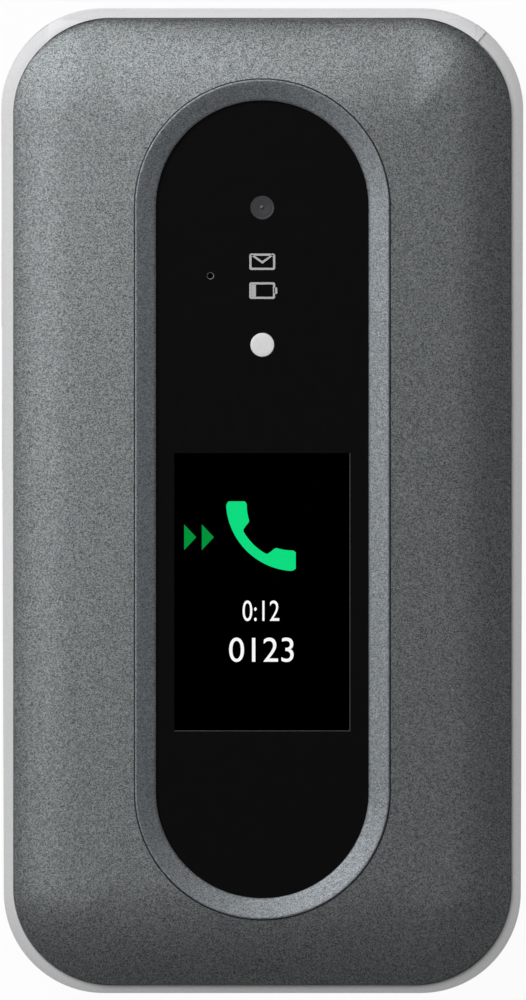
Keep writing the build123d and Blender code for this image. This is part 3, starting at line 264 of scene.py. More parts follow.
def lathe(name, profile, centre, slot, replaces=(), count=64, material=None):
    """A turned piece of the lid about a vertical axis, from (radius, z) points, filled at both ends."""
    bm = bmesh.new()
    add_loft(bm, [at_height(circle_points(r, centre, count), z) for r, z in profile])
    finish_mesh(name, bm, "lid", slot, replaces, material=material)


# ---------------------------------------------------------------- materials
def new_material(name, color, metallic, roughness, **inputs):
    """A Principled material with its constant values on its own sockets."""
    material = bpy.data.materials.new(name)
    material.use_nodes = True
    shader = material.node_tree.nodes["Principled BSDF"]
    shader.inputs["Base Color"].default_value = (*color, 1)
    shader.inputs["Metallic"].default_value = metallic
    shader.inputs["Roughness"].default_value = roughness
    for key, value in inputs.items():
        shader.inputs[key.replace("_", " ")].default_value = value
    return material, shader


def coordinates(material):
    """Object coordinates in millimetres."""
    tree = material.node_tree
    source = tree.nodes.new("ShaderNodeTexCoord")
    mapping = tree.nodes.new("ShaderNodeMapping")
    mapping.inputs["Scale"].default_value = [1 / MM] * 3
    tree.links.new(source.outputs["Object"], mapping.inputs["Vector"])
    return mapping.outputs["Vector"]


def noise(material, vector, scale, detail, rough=0.5):
    """Cloudy noise, 0..1."""
    node = material.node_tree.nodes.new("ShaderNodeTexNoise")
    node.inputs["Scale"].default_value = scale
    node.inputs["Detail"].default_value = detail
    node.inputs["Roughness"].default_value = rough
    material.node_tree.links.new(vector, node.inputs["Vector"])
    return node.outputs["Fac"]


def cells(material, vector, scale):
    """A random value for each small cell."""
    node = material.node_tree.nodes.new("ShaderNodeTexVoronoi")
    node.inputs["Scale"].default_value = scale
    material.node_tree.links.new(vector, node.inputs["Vector"])
    split = material.node_tree.nodes.new("ShaderNodeSeparateColor")
    material.node_tree.links.new(node.outputs["Color"], split.inputs["Color"])
    return split.outputs["Red"]


def ramp(material, value, stops):
    """A colour ramp with a (place, colour) pair for each stop."""
    node = material.node_tree.nodes.new("ShaderNodeValToRGB")
    node.color_ramp.elements[0].position = stops[0][0]
    node.color_ramp.elements[0].color = (*stops[0][1], 1)
    node.color_ramp.elements[1].position = stops[-1][0]
    node.color_ramp.elements[1].color = (*stops[-1][1], 1)
    for place, color in stops[1:-1]:
        node.color_ramp.elements.new(place).color = (*color, 1)
    material.node_tree.links.new(value, node.inputs["Fac"])
    return node.outputs["Color"]


def span(material, value, low, high):
    """Maps 0..1 to low..high."""
    node = material.node_tree.nodes.new("ShaderNodeMapRange")
    node.inputs["To Min"].default_value = low
    node.inputs["To Max"].default_value = high
    material.node_tree.links.new(value, node.inputs["Value"])
    return node.outputs["Result"]


def larger(tree, first, second):
    """The larger of two values."""
    node = tree.nodes.new("ShaderNodeMath")
    node.operation = "MAXIMUM"
    tree.links.new(first, node.inputs[0])
    tree.links.new(second, node.inputs[1])
    return node.outputs[0]


def bump(material, shader, height, strength, distance):
    """Tilts the surface by a height, with the distance in millimetres."""
    node = material.node_tree.nodes.new("ShaderNodeBump")
    node.inputs["Strength"].default_value = strength
    node.inputs["Distance"].default_value = distance * MM
    material.node_tree.links.new(height, node.inputs["Height"])
    material.node_tree.links.new(node.outputs["Normal"], shader.inputs["Normal"])


def flake_paint(name, color, cell, contrast, metallic, roughness, tilt):
    """Metallic paint: each flake is a little lighter or darker, and tilts a little."""
    material, shader = new_material(name, color, metallic, roughness)
    tree = material.node_tree
    vector = coordinates(material)
    flake = cells(material, vector, 1 / cell)
    fine = noise(material, vector, 0.9 / cell, 2.0, 0.6)
    mix = tree.nodes.new("ShaderNodeMix")
    mix.inputs["Factor"].default_value = 0.45
    tree.links.new(flake, mix.inputs[2])
    tree.links.new(fine, mix.inputs[3])
    low = [c * (1 - contrast) for c in color]
    high = [c * (1 + contrast) for c in color]
    shade = ramp(material, mix.outputs[0], ((0.2, low), (0.5, color), (0.8, high)))
    tree.links.new(shade, shader.inputs["Base Color"])
    bump(material, shader, flake, tilt, cell * 0.3)
    return material


def plain_noise(name, color, scale, contrast, metallic, roughness, grain=0.0, spread=0.08, **inputs):
    """Noise in colour and roughness, and a fine grain where asked."""
    material, shader = new_material(name, color, metallic, roughness, **inputs)
    tree = material.node_tree
    vector = coordinates(material)
    cloud = noise(material, vector, scale, 4.0, 0.6)
    low = [c * (1 - contrast) for c in color]
    high = [min(1, c * (1 + contrast)) for c in color]
    shade = ramp(material, cloud, ((0.3, low), (0.7, high)))
    tree.links.new(shade, shader.inputs["Base Color"])
    sheen = span(material, cloud, roughness - spread, roughness + spread)
    tree.links.new(sheen, shader.inputs["Roughness"])
    if grain:
        bump(material, shader, noise(material, vector, grain, 2.0, 0.5), 0.25, 0.03)
    return material


WAVE_SCALE = 0.314  # the wave texture's scale for one wire to each unit of length


def woven(name, color, pitch):
    """Woven wire: rows and columns of round wires with dark gaps between them."""
    material, shader = new_material(name, color, 1.0, 0.4)
    tree = material.node_tree
    vector = coordinates(material)
    waves = []
    for direction in ("X", "Y"):
        wave = tree.nodes.new("ShaderNodeTexWave")
        wave.bands_direction = direction
        wave.inputs["Scale"].default_value = WAVE_SCALE / pitch
        tree.links.new(vector, wave.inputs["Vector"])
        waves.append(wave.outputs["Fac"])
    top = larger(tree, *waves)
    dark = [c * 0.06 for c in color]
    shade = ramp(material, top, ((0.45, dark), (0.75, color)))
    tree.links.new(shade, shader.inputs["Base Color"])
    bump(material, shader, top, 0.8, pitch * 0.4)
    return material


def glow(name, color):
    """A lit display colour, faintly uneven."""
    material, shader = new_material(name, (0.0, 0.0, 0.0), 0.0, 0.3, Specular_IOR_Level=0.0)
    dim = [c * 0.94 for c in color]
    uneven = noise(material, coordinates(material), 9.0, 0.0)
    shade = ramp(material, uneven, ((0.3, dim), (0.7, color)))
    material.node_tree.links.new(shade, shader.inputs["Emission Color"])
    shader.inputs["Emission Strength"].default_value = 1.0
    return material


# slot: colour, flake size, contrast, metallic, roughness, tilt of the flakes
FLAKE_PAINTS = {
    "graphite_paint": ((0.223, 0.239, 0.242), 0.095, 0.66, 0.92, 0.42, 1.6),
    "graphite_ring": ((0.252, 0.2725, 0.288), 0.1, 0.5, 0.92, 0.5, 0.6),
    "silver_band": ((0.8, 0.8, 0.81), 0.1, 0.05, 0.1, 0.5, 0.05),
    "silver_trim": ((0.9, 0.9, 0.92), 0.1, 0.04, 0.1, 0.5, 0.04),
}
# slot: colour, scale of the noise, contrast, metallic, roughness, and what else the material sets
KEY_PLASTIC = ((0.03, 0.032, 0.034), 2.0, 0.1, 0.0, 0.38, {"grain": 9.0})
PLAIN = {
    "black_glass": (
        (0.005, 0.005, 0.005), 0.6, 0.06, 0.0, 0.12, {"spread": 0.02, "Specular_IOR_Level": 0.14},
    ),
    "display": ((0.002, 0.002, 0.0022), 0.5, 0.1, 0.0, 0.2, {"spread": 0.02, "Specular_IOR_Level": 0.2}),
    "dark_plastic": ((0.03, 0.03, 0.032), 2.0, 0.15, 0.0, 0.55, {"grain": 8.0}),
    "lens_glass": ((0.046, 0.045, 0.05), 3.0, 0.12, 0.0, 0.24, {"spread": 0.02}),
    "flash_diffuser": ((0.97, 0.97, 0.97), 3.0, 0.05, 0.0, 0.35, {}),
    "light_guide": ((0.5, 0.5, 0.5), 3.0, 0.06, 0.0, 0.4, {}),
    "sensor_metal": ((0.55, 0.55, 0.56), 4.0, 0.08, 1.0, 0.3, {}),
    "inner_plastic": ((0.02, 0.021, 0.022), 2.0, 0.15, 0.0, 0.5, {"grain": 7.0}),
    "circuit_board": ((0.02, 0.12, 0.05), 1.0, 0.2, 0.0, 0.4, {"grain": 3.0}),
    "bumper_rubber": ((0.09, 0.09, 0.09), 3.0, 0.15, 0.0, 0.8, {"grain": 6.0}),
    "screw_steel": ((0.5, 0.5, 0.5), 5.0, 0.1, 1.0, 0.3, {}),
    "flex_film": ((0.45, 0.25, 0.05), 1.0, 0.15, 0.0, 0.35, {}),
    "housing_plastic": ((0.055, 0.06, 0.063), 1.5, 0.12, 0.0, 0.5, {"grain": 5.0}),
    "battery_wrap": ((0.05, 0.05, 0.055), 0.8, 0.12, 0.0, 0.45, {"grain": 2.0}),
    "antenna_copper": ((0.6, 0.4, 0.2), 2.0, 0.1, 1.0, 0.35, {}),
    "contact_gold": ((0.8, 0.6, 0.25), 3.0, 0.08, 1.0, 0.28, {}),
    "key_caps": KEY_PLASTIC,
    "call_key_cap": KEY_PLASTIC,
    "end_key_cap": KEY_PLASTIC,
}
MATERIALS = {slot: flake_paint(slot, *values) for slot, values in FLAKE_PAINTS.items()}
for slot, (*values, more) in PLAIN.items():
    MATERIALS[slot] = plain_noise(slot, *values, **more)
MATERIALS["mesh_metal"] = woven("mesh_metal", (0.16, 0.16, 0.165), 0.36)

LEGEND = plain_noise("legend_print", (0.72, 0.73, 0.74), 4.0, 0.05, 0.0, 0.5)
SIGN_PRINT = plain_noise("sign_print", (0.6, 0.6, 0.6), 4.0, 0.05, 0.0, 0.5, Specular_IOR_Level=0.2)
SIGN_GREEN = plain_noise("sign_green", (0.03, 0.5, 0.12), 4.0, 0.05, 0.0, 0.5)
SIGN_RED = plain_noise("sign_red", (0.65, 0.03, 0.03), 4.0, 0.05, 0.0, 0.5)
# pure black for the unlit screen field, and for the painted shade disc in the microphone's hole
BLACK_SCREEN_AND_SHADE = plain_noise(
    "black_screen_and_painted_shade", (0.0, 0.0, 0.0), 1.0, 0.0, 0.0, 0.3, spread=0.02, Specular_IOR_Level=0.0,
)
# a grey for the inner display's real border, and for the painted highlight along the call screen's right and
# bottom edges
BORDER_AND_PAINTED_GLINT = plain_noise("screen_border_and_painted_glint", (0.1, 0.1, 0.1), 3.0, 0.1, 0.0, 0.4, Specular_IOR_Level=0.1)
SCREEN_GLASS = plain_noise("screen_glass", (0.012, 0.014, 0.018), 0.3, 0.1, 0.0, 0.12, spread=0.02)
GLOW_GREEN = glow("glow_green", (0.005, 0.73, 0.22))
GLOW_DIM_GREEN = glow("glow_dim_green", (0.001, 0.29, 0.045))
GLOW_WHITE = glow("glow_white", (0.95, 0.95, 0.95))

for row in frame["record"]["subparts"]:
    solid = frame["nodes"][row["node"]]
    solid.data.materials.clear()
    solid.data.materials.append(MATERIALS[row["material_slot"]])


# ---------------------------------------------------------------- lid panel
def panel_depth(x, y):
    """How far inside the panel's outline a point is, and how much its edge faces sideways (0 to 1)."""
    qx = abs(x) - PANEL_HALF[0] + PANEL_RADIUS
    qy = abs(y - PANEL_Y) - PANEL_HALF[1] + PANEL_RADIUS
    ox, oy = max(qx, 0.0), max(qy, 0.0)
    reach = math.hypot(ox, oy)
    depth = PANEL_RADIUS - reach - min(max(qx, qy), 0.0)
    if reach < 1e-9:
        side = 1.0 if qx > qy else 0.0
    else:
        side = (ox / reach) ** 2
    return depth, side


def over_round(radius, past):
    """Height of a round surface about the hinge axis, past the axis by a distance."""
    return HINGE_Z + math.sqrt(radius ** 2 - past ** 2)


def panel_height(x, y):
    """Height of the panel's pillow-shaped face, above the hinge barrel and inside the lid's end."""
    depth, side = panel_depth(x, y)
    width = SIDE_ROLL * side + END_ROLL * (1 - side)
    start, soft = EDGE_START, SOFT_SHARE
    crown = SIDE_CROWN * (x / PANEL_HALF[0]) ** 2
    if y > PANEL_Y:
        start *= side
        soft *= 1 - 4 * side * (1 - side)
        crown += HINGE_CROWN * ((y - PANEL_Y) / PANEL_HALF[1]) ** 3
    left = 1 - min(max((depth + start) / (width + start), 0.0), 1.0)
    rise = soft * (1 - left ** 2) + (1 - soft) * math.sqrt(1 - left ** 2.4)
    z = PANEL_EDGE_Z + (PANEL_CREST_Z - crown - PANEL_EDGE_Z) * rise
    past = abs(y - HINGE_Y)
    if y > HINGE_Y:
        z = min(z, over_round(LID_END_RADIUS, past))
    if past < BARREL_RADIUS and abs(x) < BARREL_HALF and depth > PANEL_WALL:
        z = max(z, over_round(BARREL_RADIUS, past) + 0.03)
    return z


def panel_underside(x, y, z):
    """Underside: a wall below the face, clear of the hinge barrel and of the ears."""
    low = max(PANEL_BOTTOM_Z, z - PANEL_WALL)
    past = abs(y - HINGE_Y)
    room = BARREL_RADIUS if abs(x) < BARREL_HALF else EAR_ROOM_RADIUS
    if past < room:
        low = max(low, over_round(room, past))
    return min(low, z - 0.02)


def make_lid_panel():
    """The dark panel, from its outline in to the ring, with its rows closest where it rolls over."""
    count = 560
    outer = resample(rounded_points(*PANEL_HALF, PANEL_RADIUS, (0, PANEL_Y), corner=40, side=2), count)
    reach = RING_WIDTH + 0.1
    inner = stadium_points(WINDOW_HALF[0] + reach, WINDOW_HALF[1] + reach, WINDOW_Y, count)
    face_rows = (
        0.0, 0.002, 0.006, 0.013, 0.022, 0.034, 0.05, 0.07, 0.09, 0.115, 0.145, 0.18, 0.22, 0.26, 0.31, 0.36,
        0.42, 0.48, 0.55, 0.62, 0.7, 0.78, 0.86, 0.93, 1.0,
    )
    under_rows = (1.0, 0.7, 0.4, 0.2, 0.1, 0.04, 0.0)

    def row(f):
        """Flat points at a share of the way in from the outline."""
        return [between(p, q, f) for p, q in zip(outer, inner)]

    rings = [[(x, y, panel_height(x, y)) for x, y in row(f)] for f in face_rows]
    rings += [[(x, y, panel_underside(x, y, panel_height(x, y))) for x, y in row(f)] for f in under_rows]
    bm = bmesh.new()
    add_loft(bm, rings, closed=True)
    finish_mesh("lid_panel", bm, "lid", "graphite_paint", ("lid_outer_cover",), 50)


make_lid_panel()


# ---------------------------------------------------------------- silver band and trim round the lid
LID_TOP_Y = LENGTH / 2 - RIM_SHOW


def corner_point(side_x, side_y, degrees):
    """A point of the lid's outline at one of its corners, and the way that the outline faces there."""
    straight_y = (LID_TOP_Y + LENGTH / 2) / 2 - CORNER_RADIUS
    a = math.radians(degrees)
    facing = (math.sin(a), math.cos(a))
    x = side_x * (WIDTH / 2 - CORNER_RADIUS) + CORNER_RADIUS * facing[0]
    y = (LID_TOP_Y - LENGTH / 2) / 2 + side_y * straight_y + CORNER_RADIUS * facing[1]
    return x * (1 + SIDE_TAPER * y / (WIDTH / 2)), y, facing


def band_outline():
    """The lid's outline from the left trim cut, round the free end, to the right one."""
    left, right = -TRIM_CUTS[-1], TRIM_CUTS[1]
    steps = 28
    points = []
    for side_x, side_y, start, end in (
        (-1, 1, left, -90), (-1, -1, -90, -180), (1, -1, 180, 90), (1, 1, 90, right),
    ):
        points += [corner_point(side_x, side_y, start + (end - start) * k / steps) for k in range(steps + 1)]
    return points


def width_to_panel(x, y, facing):
    """How far in from the outline the dark panel's edge is, found by halving, less a thin gap."""
    gap = 0.08
    low, high = 0.5, 2.2
    for _ in range(24):
        middle = (low + high) / 2
        depth, _side = panel_depth(x - facing[0] * middle, y - facing[1] * middle)
        if depth < -gap:
            low = middle
        else:
            high = middle
    return low


def band_face(width, top):
    """The band's sloping face, from its inner edge out: (distance in from the outline, height)."""
    steps = 8
    face = [(width, top)]
    drop = 0.0
    for k in range(steps):
        tilt = BAND_TILT[0] + (BAND_TILT[1] - BAND_TILT[0]) * (k + 0.5) / steps
        drop += math.tan(math.radians(tilt)) / steps
        face.append((width * (1 - (k + 1) / steps), top - drop * width))
    return face


def band_bottom(y):
    """Underside of the band, clear of the hinge ears and their webs."""
    past = y - HINGE_Y
    if past < -EAR_WEB_REACH:
        return BAND_BOTTOM_Z
    if past < -EAR_ROOM_RADIUS:
        return HINGE_Z
    if past < 0:
        return min(over_round(EAR_ROOM_RADIUS, past), OVER_EARS_Z)
    return OVER_EARS_Z


def with_steps(line, steps):
    """Adds pairs of points to a line where it crosses the given y places, so that a step there is upright."""
    half = 1e-3
    result = [line[0]]
    for start, end in zip(line, line[1:]):
        y0, y1 = start[1], end[1]
        for f in sorted((y - y0) / (y1 - y0) for y in steps if min(y0, y1) < y < max(y0, y1)):
            for g in (f - half, f + half):
                result.append((*between(start[:2], end[:2], g), between(start[2], end[2], g)))
        result.append(end)
    return result


def make_lid_band():
    """The band round the lid, from one trim cut to the other."""
    rings = []
    for x, y, facing in with_steps(band_outline(), (HINGE_Y - EAR_WEB_REACH, HINGE_Y - EAR_ROOM_RADIUS)):
        width = width_to_panel(x, y, facing)
        low = band_bottom(y)
        wall = max(BAND_WALL, width) if low == BAND_BOTTOM_Z else width
        ledge = max(PANEL_BOTTOM_Z, low)
        section = [(wall, low), (wall, ledge), (width, ledge), *band_face(width, BAND_TOP_Z), (0.0, low)]
        rings.append(pushed_in(x, y, facing, section))
    bm = bmesh.new()
    add_loft(bm, rings)
    finish_mesh("lid_band", bm, "lid", "silver_band", ("lid_frame",), 40)


def round_corner(across, radius):
    """How far a round corner reaches at a distance across it."""
    return math.sqrt(radius ** 2 - max(across, 0.0) ** 2)


def across_corner(x):
    """How far past the start of the lid's corner, at the hinge end, an x place is."""
    return abs(x) / (1 + SIDE_TAPER * HINGE_Y / (WIDTH / 2)) - (WIDTH / 2 - CORNER_RADIUS)


def trim_reach(x):
    """Where the trim's outer and inner edges are, seen from above."""
    gap = 0.09
    outer = LID_TOP_Y - CORNER_RADIUS + round_corner(across_corner(x), CORNER_RADIUS)
    panel = PANEL_Y + PANEL_HALF[1] - PANEL_RADIUS
    return outer, panel + round_corner(abs(x) - PANEL_HALF[0] + PANEL_RADIUS, PANEL_RADIUS) + gap


def trim_face(x, y):
    """Height of the trim's flat part, which slopes like the band."""
    depth = CORNER_RADIUS - math.hypot(max(across_corner(x), 0.0), y - (LID_TOP_Y - CORNER_RADIUS))
    outward = 1 - min(max(depth / TRIM_WIDTH, 0.0), 1.0)
    first, last = (math.tan(math.radians(tilt)) for tilt in BAND_TILT)
    return TRIM_TOP_Z - TRIM_WIDTH * (first * outward + (last - first) * outward ** 2 / 2)


def trim_section(x):
    """One section of the trim: its face and rounded back, and its inside round the barrel."""
    outer, inner = trim_reach(x)
    top = math.acos((inner - HINGE_Y) / TRIM_RADIUS)
    low = math.asin((TRIM_LOW_Z - HINGE_Z) / TRIM_RADIUS)
    section = []
    for k in range(33):
        a = top + (low - top) * k / 32
        y = min(HINGE_Y + TRIM_RADIUS * math.cos(a), outer)
        section.append((x, y, min(HINGE_Z + TRIM_RADIUS * math.sin(a), trim_face(x, y))))
    radius = BARREL_RADIUS + TRIM_BARREL_GAP
    for k in range(9):
        a = math.radians(-86 + 86 * k / 8)
        section.append((x, min(HINGE_Y + radius * math.cos(a), inner), HINGE_Z + radius * math.sin(a)))
    section.append((x, inner, HINGE_Z + 0.5))
    return section


def make_trim():
    """The bright trim round the hinge barrel, with a thin skin over the right ear."""
    bm = bmesh.new()
    add_loft(bm, [trim_section(TRIM_HALF * math.sin(math.radians(90 * k / 40))) for k in range(-40, 41)])
    skin = []
    for k in range(9):
        x, y, facing = corner_point(1, 1, SKIN_START + (TRIM_CUTS[1] - SKIN_START - TRIM_CUT_GAP) * k / 8)
        width = width_to_panel(x, y, facing)
        section = [(width, OVER_EARS_Z), *band_face(width, TRIM_TOP_Z - SKIN_DROP), (0.0, OVER_EARS_Z)]
        skin.append(pushed_in(x, y, facing, section))
    add_loft(bm, skin)
    finish_mesh("lid_trim", bm, "lid", "silver_trim", ("hinge_trim",), 40)


make_lid_band()
make_trim()


# ---------------------------------------------------------------- ring round the window
def make_window_ring():
    """The round-ended ring: a rounded crest at the panel, and a slope down to the window's edge."""
    window_gap = 0.01
    seat = 1.0
    profile = [
        (RING_WIDTH, RING_LOW_Z), (RING_WIDTH, 19.38), (2.36, 19.43), (2.33, 19.47), (2.28, 19.49),
        (2.2, 19.5), (2.1, 19.485), (1.9, 19.44), (1.4, 19.315), (0.8, 19.165), (0.3, 19.04), (0.05, 18.98),
        (window_gap, 18.94), (window_gap, WINDOW_LOW_Z), (-seat, WINDOW_LOW_Z), (-seat, RING_LOW_Z),
    ]
    rings = []
    for out, z in profile:
        rings.append(at_height(stadium_points(WINDOW_HALF[0] + out, WINDOW_HALF[1] + out, WINDOW_Y, 480), z))
    bm = bmesh.new()
    add_loft(bm, rings, closed=True)
    finish_mesh("window_ring", bm, "lid", "graphite_ring", ("window_bezel_ring",), 32)


make_window_ring()


# ---------------------------------------------------------------- signs and display
def flat_piece(name, outlines, heights, body, slot, material, frames=()):
    """Thin flat shapes between two heights: plates, and frames with an outer and an inner outline."""
    low, high = heights
    bm = bmesh.new()
    for points in outlines:
        add_loft(bm, [at_height(points, low), at_height(points, high)])
    for outer, inner in frames:
        rings = [(outer, low), (outer, high), (inner, high), (inner, low)]
        add_loft(bm, [at_height(points, z) for points, z in rings], closed=True)
    finish_mesh(name, bm, body, slot, material=material)


def box_points(x0, y0, x1, y1):
    """A rectangle's corners, clockwise."""
    return [(x0, y1), (x1, y1), (x1, y0), (x0, y0)]


def add_text(bm, text, size, centre, heights, width=None):
    """Raised text, centred at a point and squeezed to a width where one is given."""
    curve = bpy.data.curves.new("text", "FONT")
    curve.body = text
    curve.size = size
    curve.resolution_u = 6
    holder = bpy.data.objects.new("text", curve)
    bpy.context.scene.collection.objects.link(holder)
    bpy.context.view_layer.update()
    graph = bpy.context.evaluated_depsgraph_get()
    mesh = bpy.data.meshes.new_from_object(holder.evaluated_get(graph))
    xs = [v.co.x for v in mesh.vertices]
    ys = [v.co.y for v in mesh.vertices]
    middle = ((min(xs) + max(xs)) / 2, (min(ys) + max(ys)) / 2)
    squeeze = 1.0 if width is None else width / (max(xs) - min(xs))
    points = [((x - middle[0]) * squeeze + centre[0], y - middle[1] + centre[1]) for x, y in zip(xs, ys)]
    faces = [tuple(p.vertices) for p in mesh.polygons]
    bpy.data.objects.remove(holder)
    bpy.data.meshes.remove(mesh)
    bpy.data.curves.remove(curve)
    raise_faces(bm, points, faces, *heights)


def raise_faces(bm, points, faces, low, high):
    """Raises flat faces from low to high, closed all round."""
    bottom = [bm.verts.new((x, y, low)) for x, y in points]
    top = [bm.verts.new((x, y, high)) for x, y in points]
    edges = set()
    for face in faces:
        bm.faces.new([top[i] for i in face])
        bm.faces.new([bottom[i] for i in reversed(face)])
        edges.update(zip(face, face[1:] + face[:1]))
    for a, b in sorted(edges):
        if (b, a) not in edges:
            bm.faces.new((bottom[a], bottom[b], top[b], top[a]))


def handset_points(centre, size, turn=0.0):
    """A plain telephone handset: a quarter of an arc with two thicker ends and rounded corners."""
    steps = 48
    thin, thick, thicker = 0.865, 0.7, 0.09
    end, blend, corner = 0.262, 0.056, 0.05
    outer, inner = [], []
    for k in range(steps + 1):
        a = math.radians(180 + 90 * k / steps)
        edge = min(k, steps - k) / steps
        rounding = max(0.0, 1 - edge / corner) ** 2
        reach = 1 - 0.035 * rounding
        outer.append((reach * math.cos(a), reach * math.sin(a)))
        radius = thick + thicker * min(edge, end)
        radius += (thin - radius) * min(max((edge - end) / blend, 0.0), 1.0)
        radius += 0.03 * rounding
        inner.append((radius * math.cos(a), radius * math.sin(a)))
    c, s = math.cos(math.radians(turn)), math.sin(math.radians(turn))
    shape = [(x + 0.5, y + 0.5) for x, y in outer + inner[::-1]]
    return [(centre[0] + size * (x * c - y * s), centre[1] + size * (x * s + y * c)) for x, y in shape]


def rounded_box(x0, y0, x1, y1, radius):
    """A rectangle with rounded corners."""
    return rounded_points((x1 - x0) / 2, (y1 - y0) / 2, radius, ((x0 + x1) / 2, (y0 + y1) / 2), corner=6)


def outlined_box(x0, y0, x1, y1):
    """A frame with rounded corners, as an outer and an inner outline."""
    t = SIGN_STROKE
    return rounded_box(x0, y0, x1, y1, 0.22), rounded_box(x0 + t, y0 + t, x1 - t, y1 - t, 0.05)


def make_signs():
    """The envelope and the battery, printed on the window."""
    heights = (WINDOW_Z, WINDOW_Z + 0.012)
    t = SIGN_STROKE
    x0, y0, x1, y1 = MESSAGE_BOX
    cx, cy = (x0 + x1) / 2, (y0 + y1) / 2
    low_tip, high_tip = (cx, cy - 0.22), (cx, cy + 0.08)
    left_flap = [(x0 + 0.12, y1 - 0.16), (x0 + 0.16 + t, y1 - 0.12), high_tip, low_tip]
    right_flap = [high_tip, (x1 - 0.16 - t, y1 - 0.12), (x1 - 0.12, y1 - 0.16), low_tip]
    flat_piece(
        "message_sign", [left_flap, right_flap], heights, "lid", "light_guide", SIGN_PRINT,
        [outlined_box(*MESSAGE_BOX)],
    )
    x0, y0, x1, y1 = BATTERY_BOX
    nub = rounded_box(x1 - 0.1, 22.98, x1 + 0.24, 23.7, 0.12)
    bar = box_points(x0 + t - 0.02, y0 + t - 0.02, x0 + 0.74, y1 - t + 0.02)
    flat_piece(
        "battery_sign", [nub, bar], heights, "lid", "light_guide", SIGN_PRINT, [outlined_box(*BATTERY_BOX)]
    )


def make_screen():
    """The lit call screen: a black field, a grey line painted along its right and bottom edges as a glint,
    arrows, a handset and two rows of numbers.
    """
    field_z = (WINDOW_Z, WINDOW_Z + 0.006)
    glint_z = (field_z[1], WINDOW_Z + 0.009)
    print_z = (field_z[1], WINDOW_Z + 0.012)
    x0, x1 = -SCREEN_HALF[0], SCREEN_HALF[0]
    y0, y1 = SCREEN_Y - SCREEN_HALF[1], SCREEN_Y + SCREEN_HALF[1]
    flat_piece("screen_field", [box_points(x0, y0, x1, y1)], field_z, "lid", "display", BLACK_SCREEN_AND_SHADE)
    line = 0.07
    # painted highlight: a grey line along the screen's right and bottom edges only, standing in for the glint
    # that light makes on those edges
    edge = [box_points(x1 - line, y0, x1, y1), box_points(x0, y0, x1 - line, y0 + line)]
    flat_piece("screen_painted_glint_line", edge, glint_z, "lid", "display", BORDER_AND_PAINTED_GLINT)
    arrow_y, arrow_half, arrow_length = -4.15, 1.43, 1.35
    arrows = []
    for x in (-8.71, -6.74):
        arrows.append([(x, arrow_y + arrow_half), (x + arrow_length, arrow_y), (x, arrow_y - arrow_half)])
    flat_piece("screen_arrows", arrows, print_z, "lid", "display", GLOW_DIM_GREEN)
    handset = handset_points((-0.155, -4.04), 7.78)
    flat_piece("screen_handset", [handset], print_z, "lid", "display", GLOW_GREEN)
    bm = bmesh.new()
    add_text(bm, "0:12", 3.3, (-0.15, -12.35), print_z, 4.1)
    add_text(bm, "0123", 3.9, (-0.1, -16.7), print_z, 7.2)
    finish_mesh("screen_numbers", bm, "lid", "display", material=GLOW_WHITE)


make_signs()
make_screen()


# ---------------------------------------------------------------- camera, flash and microphone
def make_camera_and_flash():
    """A lens with faint rings round a small bright middle, and the flash's milky cover on its foot."""
    camera = [
        (LENS_RADIUS, WINDOW_LOW_Z), (LENS_RADIUS, 18.37), (1.31, 18.386), (1.25, 18.386), (1.2, 18.38),
        (0.98, 18.38), (0.95, 18.3815), (0.9, 18.3815), (0.87, 18.38), (0.6, 18.38), (0.5, 18.377),
        (0.3, 18.372), (0.13, 18.37), (0.1, 18.39), (0.03, 18.395),
    ]
    lathe("camera_glass", camera, CAMERA, "lens_glass", ("camera_lens",))
    foot = 1.95
    flash = [
        (foot, 14.15), (foot, WINDOW_LOW_Z), (LENS_RADIUS, WINDOW_LOW_Z), (LENS_RADIUS, 18.42), (1.3, 18.47),
        (1.22, 18.49), (0.9, WINDOW_Z), (0.1, WINDOW_Z),
    ]
    lathe("flash_cover", flash, FLASH, "flash_diffuser", ("flash_lens",))


def make_microphone_mouth():
    """A steep cone in the window's hole, and below it a pure black disc that is painted shade for the bottom
    of the deep hole.
    """
    cone = [(0.4, WINDOW_Z - 0.005), (0.32, 18.2), (0.32, 18.0), (0.4, 18.0)]
    bm = bmesh.new()
    add_loft(bm, [at_height(circle_points(r, MICROPHONE, 40), z) for r, z in cone], closed=True)
    finish_mesh("microphone_mouth", bm, "lid", "light_guide")
    # painted shade: a pure black disc in the hole stands in for the shade at the bottom of the deep hole
    screen = [(0.39, WINDOW_LOW_Z + 0.02), (0.39, 17.9), (0.05, 17.9)]
    lathe("microphone_painted_shade", screen, MICROPHONE, "display", count=40, material=BLACK_SCREEN_AND_SHADE)


make_camera_and_flash()
make_microphone_mouth()


# ---------------------------------------------------------------- keys
# distance in from the outline and height, over the rolled edge and then over the crown
CAP_ROLL = ((0.03, 10.25), (0.1, 10.34), (0.2, 10.4), (0.35, 10.435))
CAP_CROWN = ((0.8, 10.452), (1.5, 10.46), (2.4, 10.463))


def key_piece(name, outline, slot, stems, hole=None, flange=0.5):
    """A key: stems on the domes, a flange below the deck and a crowned cap with rolled edges.

    The outline is a function of an inset. A hole is a centre and a radius.
    """
    count = 112
    low, high = FLANGE_Z
    cap = [(-flange, low), (-flange, high), (0.0, high), (0.0, CAP_EDGE_Z), *CAP_ROLL]
    if hole is None:
        cap += CAP_CROWN
    rings = [at_height(resample(outline(inset), count), z) for inset, z in cap]
    if hole is not None:
        centre, radius = hole
        for out, z in (*reversed(CAP_ROLL), (0.0, CAP_EDGE_Z), (0.0, low)):
            rings.append(at_height(circle_points(radius + out, centre, count), z))
    bm = bmesh.new()
    add_loft(bm, rings, closed=hole is not None)
    for place in stems:
        add_loft(bm, [at_height(circle_points(STEM_RADIUS, place, 24), z) for z in (STEM_LOW_Z, low)])
    finish_mesh(name + "_cap", bm, name, slot, (name,), 40)


